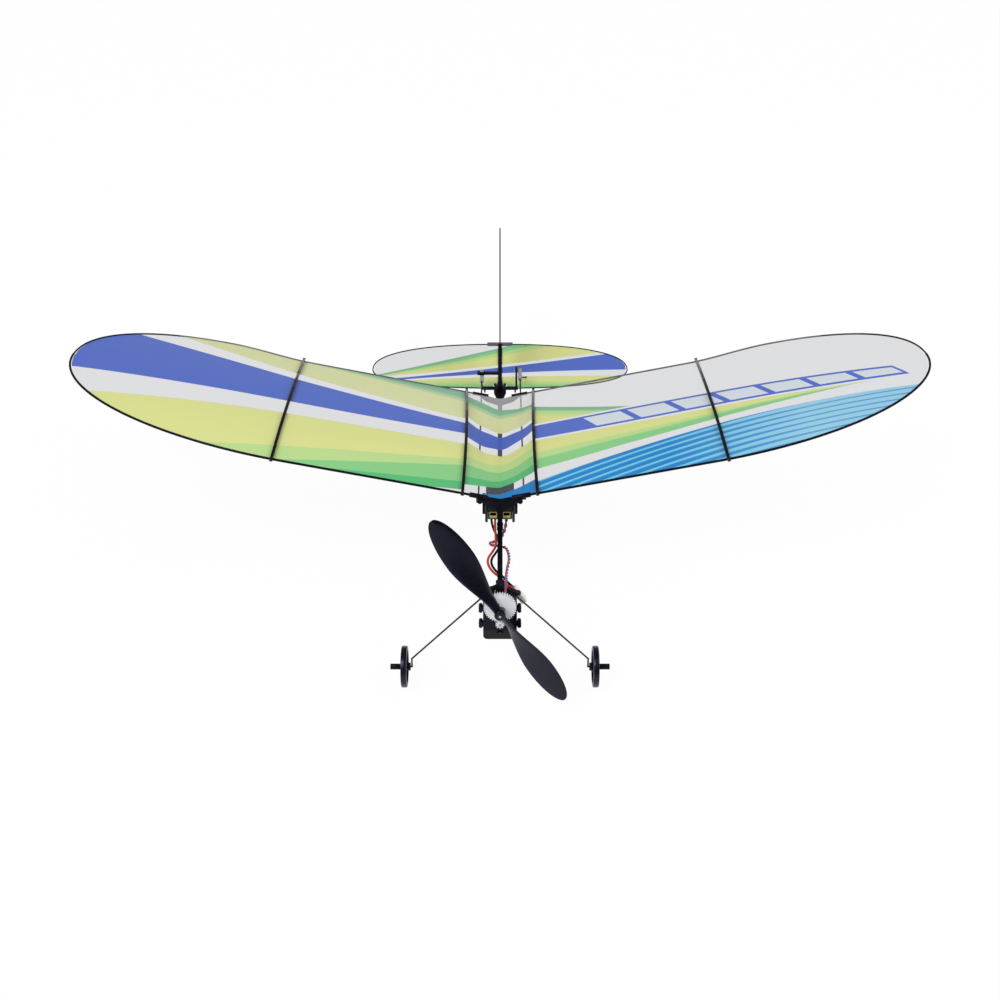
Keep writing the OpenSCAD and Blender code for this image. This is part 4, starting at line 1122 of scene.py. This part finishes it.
    def place(self, u: np.ndarray, t: np.ndarray, n: np.ndarray, side: int) -> np.ndarray:
        """Tips a panel by its incidence, raises it by its dihedral and lifts it to the mounts.

        Args:
            u: Distance along the panel.
            t: Distance along the chord.
            n: Height above the rods' plane.
            side: 1 for the panel on +X, -1 for the other.

        Returns:
            Level points.
        """
        ci, si, cd, sd = (f(a) for a in (self.incidence, self.dihedral) for f in (math.cos, math.sin))
        z = n * ci - t * si
        return np.stack([side * (u * cd - z * sd), t * ci + n * si, self.height + u * sd + z * cd], -1)

    def ripples(self, u: np.ndarray, t: np.ndarray, side: int) -> np.ndarray:
        """Soft creases between the ribs: sloped ridges that die out at the ribs and the edges.

        Args:
            u: Distance along the panel.
            t: Distance along the chord.
            side: 1 for the panel on +X, -1 for the other.

        Returns:
            Height of the creases.
        """
        room: Union[float, np.ndarray] = 1.0 if side < 0 else self.left_creases
        for value, (start, stop) in ((u, self.crease_span), (t, self.crease_chord)):
            room = room * Curve.ramp(value, start, self.crease_fade)
            room = room * Curve.ramp(-value, -stop, self.crease_fade)
        base, slope, width, height, middle = np.array(self.creases).T[:, :, None, None]
        across = (t - base - slope * (u - self.crease_root)) / width
        rise = height * np.exp(-(across**2) - ((u - middle) / self.crease_reach) ** 2)
        return rise.sum(0) * room

    def build(self) -> None:
        """Builds the films and the rods of both panels."""
        prints = self.prints()
        for name, side in (("left", 1), ("right", -1)):
            self.panel_film(name, side, prints[name].material())
            self.panel_rods(name, side)
        self.centre_film(prints["centre"].material())

    def panel_film(self, name: str, side: int, finish: bpy.types.Material) -> None:
        """Builds one panel's film: stations along the span, shares of the chord across, arched.

        Args:
            name: Side's name.
            side: 1 for the panel on +X, -1 for the other.
            finish: Its material.
        """
        le_in, te_in = self.le_rod_r + self.film_gap, self.te_rod_r + self.film_gap
        last = self.panel_len - le_in - self.glue_gap
        inner = np.linspace(self.inner_rib + self.glue_gap, self.straight, self.bay_steps, endpoint=False)
        outer = self.straight + (last - self.straight) * Curve.quarter(self.tip_steps)
        u = np.concatenate([inner, outer])[:, None]
        f = Curve.eased(self.chord_steps)
        t = self.lead(u, le_in) + f * (self.trail(u, te_in) - self.lead(u, le_in))
        u = np.broadcast_to(u, t.shape)
        n = self.camber * self.fade(u) * self.arch(f) + self.ripples(u, t, side)
        chart = np.stack([u / self.u_scale, t / self.t_scale], -1)
        film = Surface.sheet(f"{name}_wing_skin", self.place(u, t, n, side), chart, side > 0)
        settle(film, Body.AIRFRAME, "wing_film", finish, f"{name}_wing_film")
        stretch(film, self.panel_flat)

    def panel_rods(self, name: str, side: int) -> None:
        """Builds one panel's two rods along its edges; the rear one carries a painted grey sheen that steps
        down to its own black towards the tip.

        Args:
            name: Side's name.
            side: 1 for the panel on +X, -1 for the other.
        """
        guide = self.place(0.0, 0.0, 1.0, side) - self.place(0.0, 0.0, 0.0, side)
        a = np.linspace(0, math.pi / 2, self.tip_steps)
        root = np.linspace(self.rod_root, self.straight, self.root_steps, endpoint=False)
        u = np.concatenate([root, self.straight + (self.panel_len - self.straight) * np.sin(a)])
        t = np.concatenate([0 * root, self.tip_aft - self.tip_aft * np.cos(a)])
        tube = Surface.tube(self.place(u, t, 0 * u, side), self.le_rod_r, guide, self.le_sides)
        rod = Surface.solid(f"{name}_leading_rod", tube)
        settle(rod, Body.AIRFRAME, "carbon_rod", Finishes.CARBON.material(), f"{name}_leading_edge")
        power = 2 / self.tip_power
        bend = np.linspace(self.straight, self.te_turn, self.bend_steps, endpoint=False)
        round_tip = self.te_turn + (self.panel_len - self.te_turn) * np.sin(a[:-1]) ** power
        u = np.concatenate([root, bend, round_tip, [self.panel_len]])
        tip = self.tip_aft + (self.chord + self.sweep - self.tip_aft) * np.cos(a[:-1]) ** power
        t = np.concatenate([self.trail(root, 0.0), self.trail(bend, 0.0), tip, [self.tip_aft + self.rod_gap]])
        tube = Surface.tube(self.place(u, t, 0 * u, side), self.te_rod_r, guide, self.te_sides)
        rod = Surface.solid(f"{name}_trailing_rod", tube)
        settle(rod, Body.AIRFRAME, "carbon_rod", Finishes.SHEEN_ROD.material(), f"{name}_trailing_edge")
        # Painted sheen on the rear rod: grey inboard, mid-grey further out, the rod's own black at the tip
        sheen_zone = np.searchsorted(self.sheen_stations, np.abs(face_centres(rod)[:, 0]) * 1000)
        repaint(rod, sheen_zone, Finishes.HALF_SHEEN_ROD, Finishes.CARBON)

    def centre_film(self, finish: bpy.types.Material) -> None:
        """Builds the loose film: a V from rib to rib that hangs in the middle, faintly creased.

        Args:
            finish: Its material.
        """
        f = Curve.eased(self.chord_steps)
        k = np.linspace(-1, 1, self.centre_steps)[:, None]
        lead = self.le_socket_r + self.glue_gap
        t = lead + f * (self.chord - self.te_socket_r - self.glue_gap - lead)
        rib = self.place(np.full_like(t, self.inner_rib - self.glue_gap), t, self.camber * self.arch(f), 1)
        x, y, z = np.moveaxis(rib, -1, 0)
        loose = (1 - k * k) * 4 * f * (1 - f)
        wave = self.sag_wave * np.sin(self.wave_rates[0] * k + self.wave_rates[1] * f)
        drop = (1 - np.abs(k)) * x * math.tan(self.dihedral) + loose * (self.sag - wave)
        points = np.stack([k * x, y + 0 * k, z - drop], -1)
        chart = np.stack([points[..., 0] / self.mid_scale + 0.5, t / self.t_scale + 0 * k], -1)
        film = Surface.sheet("centre_wing_skin", points, chart, True)
        settle(film, Body.AIRFRAME, "wing_film", finish, "centre_wing_film")
        stretch(film, self.centre_flat)


@dataclass
class Tail:
    """The elevator's and the fin's films and bent rods; the flat sizes are in metres."""

    hinge_y: float = 135.5
    hinge_z: float = 0.3
    rest: float = math.radians(6.0)
    half: float = 63.2
    chord: float = 45.0
    front: float = 19.5
    power: float = 2.3
    bar_end: float = 8.7
    front_in: float = 0.95
    rear_end: float = 6.5
    back_in: float = 0.85
    notch_x: float = 3.4
    notch_y: float = 2.972
    rod_r: float = 0.3
    film_gap: float = 0.2
    post_back: float = 132.95
    fin_mid_y: float = 156.0
    fin_mid_z: float = 46.0
    fin_aft: float = 22.0
    fin_under: float = 24.0
    fin_over: float = 27.0
    fin_power: float = 3.0
    bow_low: float = 11.5
    rod_low: float = 19.6
    bow_turn: Tuple[float, float] = (-82.0, 262.0)
    bow_steps: int = 160
    bow_inner: float = 2.8
    bow_outer: float = 0.8
    bar_seat: float = 0.7
    tip_in: float = 0.2
    notch_edge: float = 0.001
    notch_room: float = 0.1
    fin_foot: float = -65.0
    fin_base_in: float = 0.55
    fin_row_gap: float = 0.1
    fin_top_in: float = 0.02
    fin_straight: float = 2.0
    fin_chart: Tuple[float, float] = (130.0, 5.0)
    rod_sides: int = 12
    wide_steps: int = 50
    notch_steps: int = 9
    chord_steps: int = 31
    low_steps: int = 40
    high_steps: int = 90
    front_steps: int = 8
    foot_rows: int = 12
    fin_rows: int = 60
    fin_steps: int = 25
    elevator_flat: Tuple[float, float] = (0.1250, 0.0440)
    fin_flat: Tuple[float, float] = (0.0450, 0.0610)
    u_scale: float = 140.0
    s_scale: float = 60.0

    def prints(self) -> Dict[str, FilmPrint]:
        """Lists the two tail films' plain fields, from the front back and from the foot up.

        Returns:
            The films' prints by name.
        """
        flat = (Field(3.4, 0.0, 0.0, Ink.LEAF, 3.0), Field(6.6, 0.0, 0.0, Ink.LIME, 2.0),
                Field(11.0, 0.05, -0.0005, Ink.PALE), Field(14.7, 0.1, -0.0006, Ink.BLUE),
                Field(20.6, 0.235, 0.0005, Ink.PALE), Field(23.2, 0.235, 0.0006, Ink.LIME),
                Field(32.5, 0.4, 0.0008, Ink.LEAF, 1.5), Field(36.0, 0.45, 0.001, Ink.GREEN, 1.5),
                Field(39.0, 0.48, 0.0005, Ink.SAGE, 1.5), Field(41.0, 0.48, 0.0004, Ink.PALE))
        upright = (Field(10.0, 0.1, 0.0, Ink.LIME), Field(20.0, 0.25, 0.0, Ink.PALE),
                   Field(23.0, 0.28, 0.0, Ink.BLUE), Field(32.0, 0.35, 0.0, Ink.PALE))
        u, s = self.u_scale, self.s_scale
        return {
            "elevator": FilmPrint("ElevatorFilm", Ink.GREEN, flat, u, s, -u / 2),
            "fin": FilmPrint("FinFilm", Ink.GREEN, upright, s, s),
        }

    def tilted(self, u: np.ndarray, s: np.ndarray) -> np.ndarray:
        """Elevator's span u and chord s as level points, turned about the hinge to the rest angle."""
        y, z = self.hinge_y + s * math.cos(self.rest), self.hinge_z + s * math.sin(self.rest)
        return np.stack([u, y, z], -1)

    def edge(self, u: np.ndarray, back: bool, inset: Union[float, np.ndarray]) -> np.ndarray:
        """Elevator's front or back edge: half of a full-cornered oval.

        Args:
            u: Stations along the span.
            back: Whether it is the back edge.
            inset: How far the edge is drawn in.

        Returns:
            Its place along the chord.
        """
        depth = (self.chord - self.front if back else self.front) - inset
        x = np.clip(np.abs(u) / (self.half - inset), 0, 1)
        swell = depth * Curve.oval(x, self.power)
        return self.front + (swell if back else -swell)

    def fin_edge(self, inset: float) -> np.ndarray:
        """Fin's outline: full-cornered behind and below its middle, quarter ellipses above it.

        Args:
            inset: How far the outline is drawn in.

        Returns:
            Points as Y and Z, from the post's foot round the back to the front above the middle.
        """
        front = self.post_back + self.rod_r + inset
        low = np.radians(np.linspace(self.fin_foot, 0, self.low_steps))
        high = np.radians(np.linspace(0, 180, self.high_steps))[1:]
        power = 2 / self.fin_power
        aft, under, over = self.fin_aft - inset, self.fin_under - inset, self.fin_over - inset
        reach = np.where(high < math.pi / 2, aft, self.fin_mid_y - front)
        y = self.fin_mid_y + np.concatenate([aft * np.cos(low) ** power, reach * np.cos(high)])
        z = self.fin_mid_z + np.concatenate([-under * np.sin(-low) ** power, over * np.sin(high)])
        return np.stack([np.append(self.post_back, y), np.append(self.bow_low + inset, z)], -1)

    def build(self) -> None:
        """Builds both films and both bows."""
        prints = self.prints()
        self.elevator_film(prints["elevator"].material())
        self.fin_film(prints["fin"].material())
        a = np.radians(np.linspace(*self.bow_turn, self.bow_steps))
        power = 2 / self.power
        u = self.half * Curve.full(np.cos(a), power)
        depth = np.where(np.sin(a) > 0, self.chord - self.front, self.front)
        v = self.front + depth * Curve.full(np.sin(a), power)
        ends = np.array([self.bar_end - self.bow_inner, self.bar_end + self.bow_outer])
        path = self.tilted(np.concatenate([ends, u, -ends[::-1]]), np.concatenate([0 * ends, v, 0 * ends]))
        upward = (0, -math.sin(self.rest), math.cos(self.rest))
        bow = Surface.solid("elevator_loop", Surface.tube(path, self.rod_r, upward, self.rod_sides))
        settle(bow, Body.ELEVATOR, "carbon_rod", Finishes.CARBON.material(), "elevator_bow")
        outline = self.fin_edge(0.0)
        front = np.linspace(self.fin_mid_z - self.fin_straight, self.rod_low, self.front_steps)
        y = np.append(outline[:, 0], np.full_like(front, outline[-1, 0]))
        path = np.stack([0 * y, y, np.append(outline[:, 1], front)], -1)
        bow = Surface.solid("rudder_loop", Surface.tube(path, self.rod_r, (1, 0, 0), self.rod_sides))
        settle(bow, Body.RUDDER, "carbon_rod", Finishes.CARBON.material(), "rudder_bow")

    def elevator_film(self, finish: bpy.types.Material) -> None:
        """Builds the elevator's film between its edges, notched round the tail block.

        Args:
            finish: Its material.
        """
        film_in = self.rod_r + self.film_gap
        wide = (self.half - film_in - self.tip_in) * Curve.quarter(self.wide_steps)
        wide = np.concatenate([[self.notch_x], wide[wide > self.notch_x + self.notch_room]])
        notch = self.notch_x - self.notch_edge
        inner = np.linspace(-notch, notch, self.notch_steps)
        u = np.concatenate([-wide[::-1], inner, wide])[:, None]
        f = np.linspace(0, 1, self.chord_steps)[None, :]
        front_in, back_in = (
            np.where(np.abs(u) < end + self.bar_seat, bar_in, film_in)
            for end, bar_in in ((self.bar_end, self.front_in), (self.rear_end, self.back_in)))
        low = np.where(np.abs(u) < self.notch_x, self.notch_y, self.edge(u, False, front_in))
        high = self.edge(u, True, back_in)
        s = low + f * (high - low)
        u = np.broadcast_to(u, s.shape)
        chart = np.stack([u / self.u_scale + 0.5, s / self.s_scale], -1)
        film = Surface.sheet("elevator_skin", self.tilted(u, s), chart, False)
        settle(film, Body.ELEVATOR, "tail_film", finish, "elevator_film")
        stretch(film, self.elevator_flat)

    def fin_film(self, finish: bpy.types.Material) -> None:
        """Builds the fin's film as level rows between the outline's front and back.

        Args:
            finish: Its material.
        """
        edge = self.fin_edge(self.rod_r + self.film_gap)
        top = int(edge[:, 1].argmax())
        foot = np.linspace(self.bow_low + self.fin_base_in, self.rod_low - self.fin_row_gap, self.foot_rows)
        upper = np.linspace(self.rod_low, edge[top, 1] - self.fin_top_in, self.fin_rows)
        z = np.concatenate([foot, upper])
        back = np.interp(z, edge[: top + 1, 1], edge[: top + 1, 0])
        front = np.interp(z, edge[top:, 1][::-1], edge[top:, 0][::-1])
        front = np.where(z < self.rod_low, self.post_back, front)
        f = np.linspace(0, 1, self.fin_steps)[None, :]
        y = front[:, None] + f * (back - front)[:, None]
        z = np.broadcast_to(z[:, None], y.shape)
        chart = (np.stack([y, z], -1) - self.fin_chart) / self.s_scale
        film = Surface.sheet("rudder_skin", np.stack([0 * y, y, z], -1), chart, False)
        settle(film, Body.RUDDER, "tail_film", finish, "rudder_film")
        stretch(film, self.fin_flat)


@dataclass
class Propeller:
    """The two twisted blades on their hub."""

    plane_y: float = -59.1
    axis_z: float = -3.0
    turn: float = math.radians(32.0)
    radius: float = 45.5
    root: float = 1.2
    pitch: float = 56.0
    steepest: float = math.radians(48.0)
    chord: float = 11.0
    widest: float = 0.58
    root_t: float = 1.5
    thin_by: float = 0.8
    hub_r: float = 2.1
    hub_half: float = 2.0
    bore_r: float = 0.525
    tip_from: float = 0.88
    tip_reach: float = 0.425
    root_share: float = 0.34
    inner_steps: int = 44
    tip_steps: int = 18
    sides: int = 32
    nose: float = 0.45
    nose_mid: float = 0.12
    nose_in: float = 0.15
    tail_edge: float = 0.3
    hub_sides: int = 48
    sharp: float = 50.0

    def blade(self) -> Shape:
        """One blade along Z: oval sections whose angle is the pitch angle at their radius.

        Returns:
            Points and faces.
        """
        inner = np.linspace(0, self.tip_from, self.inner_steps, endpoint=False)
        outer = self.tip_from + (1 - self.tip_from) * Curve.quarter(self.tip_steps)
        share = np.concatenate([inner, outer])[:, None]
        r = self.root + share * (self.radius - self.root)
        angle = np.minimum(self.steepest, np.arctan(self.pitch / (2 * math.pi * r)))
        rise = self.root_share + (1 - self.root_share) * Curve.step(Curve.ramp(share, 0.0, self.widest))
        out = Curve.ramp(share, self.widest, self.tip_reach)
        chord = self.chord * np.where(share < self.widest, rise, np.sqrt(1 - out * out))
        a = Curve.circle(self.sides)[None, :]
        x = chord / 2 * np.cos(a)
        y = (self.root_t - self.thin_by * share) / 2 * np.sin(a)
        c, s = np.cos(angle), np.sin(angle)
        return Surface.loft(np.stack([x * c - y * s, x * s + y * c, r + 0 * x], -1))

    def build(self) -> None:
        """Joins the blades and a turned hub, and sets them at their rest angle."""
        points, faces = self.blade()
        other = points * np.array([-1.0, 1.0, -1.0])
        b, h, r = self.bore_r, self.hub_half, self.hub_r
        hub, hub_faces = Surface.turned(
            [(-h, b), (-h, r - self.nose), (-h + self.nose_mid, r - self.nose_in), (-h + self.nose, r),
             (h - self.tail_edge, r), (h, r - self.tail_edge), (h, b)], self.hub_sides)
        hub = hub[:, [1, 0, 2]]
        points, faces = Surface.joined([(points, faces), (other, faces), (hub, hub_faces)])
        x, y, z = points.T
        c, s = math.cos(self.turn), math.sin(self.turn)
        level = np.stack([x * c - z * s, self.plane_y + y, self.axis_z + z * c + x * s], -1)
        blades = Surface.solid("propeller_blades", (level, faces), self.sharp)
        settle(blades, Body.PROPELLER, "propeller_black", Finishes.BLADE.material(), "propeller")


@dataclass
class Wheels:
    """The two spoked wheels."""

    middle_x: float = 37.1
    axle_y: float = -STANCE.axle_ahead
    axle_z: float = -STANCE.axle_drop
    radius: float = STANCE.wheel_r
    half_w: float = 1.15
    rim_t: float = 1.5
    hub_r: float = 1.6
    hub_in: float = 2.4
    hub_out: float = 1.5
    bore_r: float = 0.4
    spokes: int = 6
    spoke_half: float = 0.5
    spoke_in: float = 0.4
    spoke_out: float = 0.25
    spoke_flare: float = 0.5
    flare_power: int = 6
    spoke_power: float = 0.4
    tread_edge: float = 0.4
    tread_mid: float = 0.12
    rim_rise: float = 0.15
    rim_edge: float = 0.2
    hub_edge: float = 0.2
    rim_sides: int = 96
    hub_sides: int = 40
    spoke_steps: int = 12
    sharp: float = 40.0

    def shape(self) -> Shape:
        """One wheel about X: a rounded rim, a turned hub and flared spokes between them.

        Returns:
            Points and faces.
        """
        w, r, rim = self.half_w, self.radius, self.radius - self.rim_t
        edge, mid, lip = self.tread_edge, self.tread_mid, rim + self.rim_rise
        rim_part = Surface.turned(
            [(-w, lip), (-w, r - edge), (-w + mid, r - mid), (-w + edge, r),
             (w - edge, r), (w - mid, r - mid), (w, r - edge), (w, lip),
             (w - self.rim_edge, rim), (-w + self.rim_edge, rim)], self.rim_sides)
        inward, outward, hub, edge = self.hub_in, self.hub_out, self.hub_r, self.hub_edge
        hub_part = Surface.turned(
            [(-inward, self.bore_r), (-inward, hub - edge), (-inward + edge, hub), (outward - edge, hub),
             (outward, hub - edge), (outward, self.bore_r)], self.hub_sides)
        reach = np.linspace(hub - self.spoke_in, rim + self.spoke_out, self.spoke_steps)[:, None]
        middle = (reach - reach[0]) / (reach[-1] - reach[0])
        flare = self.spoke_half * (1 + self.spoke_flare * (2 * middle - 1) ** self.flare_power)
        a = (np.arange(self.spoke_steps)[None, :] + 0.5) * 2 * math.pi / self.spoke_steps
        x = self.spoke_half * Curve.full(np.cos(a), self.spoke_power) + 0 * reach
        y = flare * Curve.full(np.sin(a), self.spoke_power)
        turns = [(math.cos(q), math.sin(q)) for q in Curve.circle(self.spokes)]
        ring = [Surface.loft(np.stack([x, y * c - reach * s, y * s + reach * c], -1)) for c, s in turns]
        return Surface.joined([rim_part, hub_part] + ring)

    def build(self) -> None:
        """Builds both wheels, the right one mirrored."""
        points, faces = self.shape()
        for name, side, body in (("left", 1, Body.LEFT_WHEEL), ("right", -1, Body.RIGHT_WHEEL)):
            level = (points + (self.middle_x, 0, 0)) * (side, 1, 1) + (0, self.axle_y, self.axle_z)
            wheel = Surface.solid(f"{name}_spoked_wheel", (level, faces), self.sharp)
            settle(wheel, body, "black_moulding", Finishes.RIM.material(), f"{name}_wheel")


@dataclass
class Fittings:
    """The CAD nodes that stay: their finishes and soft edges, in metres.

    The sockets' openings are boxes in millimetres of the level frame, alike on both sides; the walls inside
    them get painted shade.
    """

    edge: float = 0.00012
    fine_edge: float = 0.00005
    segments: int = 2
    angle: float = math.radians(38.0)
    weld: float = 1e-7
    opening: Point = (2.7, 3.0, 4.35)
    opening_half: Point = (1.25, 0.7, 0.7)

    def finish_of(self, name: str) -> Finishes:
        """Names the finish of a CAD node.

        Args:
            name: The node.

        Returns:
            Its finish; black moulding where none is listed.
        """
        listed = {
            Finishes.CARBON: ("boom", "rudder_pushrod", "elevator_pushrod"),
            Finishes.RIB: ("left_inner_rib", "right_inner_rib", "left_outer_rib", "right_outer_rib"),
            Finishes.CASE: ("receiver_case", "gearbox_body"),
            # The elevator's black rear bar gets the rods' painted grey sheen
            Finishes.SHEEN_ROD: ("elevator_rear_bar",),
            Finishes.LEG: ("left_gear_leg", "right_gear_leg"),
            Finishes.BRIGHT: ("prop_shaft", "motor_shaft", "rudder_pin", "motor_can", "rudder_servo_motor",
                              "elevator_servo_motor"),
            Finishes.BRASS: ("front_bearing", "rear_bearing"),
            Finishes.GEAR: ("spur_gear", "pinion", "motor_end_cap"),
            Finishes.PLUG: ("battery_plug",),
            Finishes.BOARD: ("receiver_board",),
            Finishes.IVORY: ("signal_sockets",),
            Finishes.FOAM: ("receiver_tape",),
            Finishes.GREY: ("rudder_connector", "elevator_connector"),
        }
        return next((finish for finish, names in listed.items() if name in names), Finishes.MOULDED)

    def paint_socket_shade(self, node: bpy.types.Object) -> None:
        """Paints shade on the walls inside the sockets' openings: dark brown for the shadow in the holes.

        Args:
            node: The sockets.
        """
        place = np.array(node.matrix_world)
        middles = STANCE.level(face_centres(node) @ place[:3, :3].T + place[:3, 3])
        middles[:, 0] = np.abs(middles[:, 0])
        # Faces inside the openings get the painted shade
        inside = (np.abs(middles - self.opening) < self.opening_half).all(1)
        repaint(node, inside, Finishes.SOCKET_SHADE)

    def build(self, nodes: Dict[str, bpy.types.Object]) -> None:
        """Dresses every CAD node that is still shown.

        Args:
            nodes: CAD nodes by name.
        """
        for name, node in nodes.items():
            if node.hide_render:
                continue
            finish = self.finish_of(name)
            node.data.materials.clear()
            node.data.materials.append(finish.material())
            # Ivory sockets get painted shade inside their openings
            if finish is Finishes.IVORY:
                self.paint_socket_shade(node)
            weld = node.modifiers.new("Weld", "WELD")
            weld.merge_threshold = self.weld
            bevel = node.modifiers.new("Bevel", "BEVEL")
            bevel.width = self.fine_edge if finish is Finishes.GEAR else self.edge
            bevel.segments, bevel.limit_method, bevel.angle_limit = self.segments, "ANGLE", self.angle
            bevel.harden_normals = True
            LOG.info("%s: %s", name, finish.value.name)


@dataclass
class Studio:
    """Camera, floor and light; each lamp gives its name, place and side in metres, and watts."""

    eye: Point = (0.0, -483.9, 274.7)
    aim: Point = (0.0, 0.0, 12.0)
    lens: float = 50.0
    sensor: float = 36.0
    clip: Tuple[float, float] = (0.01, 30.0)
    floor_half: float = 4.0
    floor_grey: float = 0.9
    floor_glow: float = 0.96
    floor_mirrored: float = 0.9
    surround: float = 0.66
    mirrored: float = 0.12
    lamp_aim: Point = (0.0, -0.02, 0.04)
    lamps: Tuple[Tuple[str, Point, float, float], ...] = (
        ("Key", (-0.55, -0.6, 1.2), 0.6, 8.4), ("Fill", (0.9, -0.2, 0.9), 0.7, 3.6))

    @staticmethod
    def face(holder: bpy.types.Object, at: Sequence[float], target: Sequence[float]) -> None:
        """Puts a camera or lamp at a place and turns it towards a target."""
        holder.location = at
        holder.rotation_euler = (Vector(target) - Vector(at)).to_track_quat("-Z", "Y").to_euler()

    def camera(self) -> None:
        """Sets the camera at the photograph's viewing angle."""
        cam = bpy.data.cameras.new("Camera")
        cam.lens, cam.sensor_width, cam.sensor_fit = self.lens, self.sensor, "HORIZONTAL"
        cam.clip_start, cam.clip_end = self.clip
        cam.dof.use_dof = False
        holder = linked("Camera", cam)
        self.face(holder, *(STANCE.place(np.array(p)) for p in (self.eye, self.aim)))
        bpy.context.scene.camera = holder

    @staticmethod
    def seen_share(graph: Graph) -> Tuple[Socket, Socket]:
        """Tells what kind of ray sees a surface.

        Args:
            graph: Graph to add to.

        Returns:
            1 for camera and transmission rays, else 0; and 1 for glossy rays, else 0.
        """
        path = graph.tree.nodes.new("ShaderNodeLightPath").outputs
        seen = graph.math("MAXIMUM", path["Is Camera Ray"], path["Is Transmission Ray"])
        return seen, path["Is Glossy Ray"]

    def floor(self) -> None:
        """Lays a plain white floor that keeps a faint shadow."""
        h = self.floor_half
        mesh = bpy.data.meshes.new("floor")
        mesh.from_pydata([(-h, -h, 0), (h, -h, 0), (h, h, 0), (-h, h, 0)], [], [(0, 1, 2, 3)])
        floor = linked("floor", mesh)
        made, graph = new_material("FloorWhite")
        nodes = graph.tree.nodes
        nodes.remove(nodes["Principled BSDF"])
        kinds = ("BsdfDiffuse", "Emission", "MixShader")
        matt, glow, blend = (nodes.new(f"ShaderNode{kind}") for kind in kinds)
        graph.feed(matt.inputs["Color"], (self.floor_grey,) * 3)
        seen, glossy = self.seen_share(graph)
        graph.feed(glow.inputs["Strength"], graph.blend(glossy, 1.0, self.floor_mirrored))
        graph.feed(blend.inputs[0], graph.times(graph.math("MAXIMUM", seen, glossy), self.floor_glow))
        graph.feed(blend.inputs[1], matt.outputs[0])
        graph.feed(blend.inputs[2], glow.outputs[0])
        graph.feed(nodes["Material Output"].inputs["Surface"], blend.outputs[0])
        mesh.materials.append(made)
        floor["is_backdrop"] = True

    def lamp(self, name: str, at: Point, size: float, power: float) -> None:
        """Hangs a square lamp that faces the plane.

        Args:
            name: Name of the lamp.
            at: Its place in the row frame, in metres.
            size: Its side in metres.
            power: Its power in watts.
        """
        light = bpy.data.lights.new(name, "AREA")
        light.shape, light.size, light.energy = "SQUARE", size, power
        self.face(linked(name, light), at, self.lamp_aim)

    def light(self) -> None:
        """Sets a pale surround, a soft key lamp and a weaker fill."""
        world = bpy.data.worlds.new("Surround")
        bpy.context.scene.world = world
        world.use_nodes = True
        graph = Graph(world.node_tree)
        back = world.node_tree.nodes["Background"]
        back.inputs["Color"].default_value = (1.0, 1.0, 1.0, 1.0)
        seen, glossy = self.seen_share(graph)
        level = graph.blend(glossy, graph.blend(seen, self.surround, 1.0), self.mirrored)
        graph.feed(back.inputs["Strength"], level)
        for lamp in self.lamps:
            self.lamp(*lamp)
        bpy.context.scene.view_settings.view_transform = "Standard"


def main() -> None:
    logging.basicConfig(level=logging.INFO, format="%(name)s: %(message)s")
    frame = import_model()
    cad_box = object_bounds()
    studio = Studio()
    studio.camera()
    Wiring().build(frame["nodes"])
    Wing().build()
    Tail().build()
    Propeller().build()
    Wheels().build()
    Fittings().build(frame["nodes"])
    studio.floor()
    studio.light()
    bpy.context.view_layer.update()
    boxes = {"cad": cad_box, "visual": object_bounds()}
    {name: [[float(v) for v in corner] for corner in box] for name, box in boxes.items()}
    LOG.info("boxes %s", boxes)


if __name__ == "__main__":
    main()
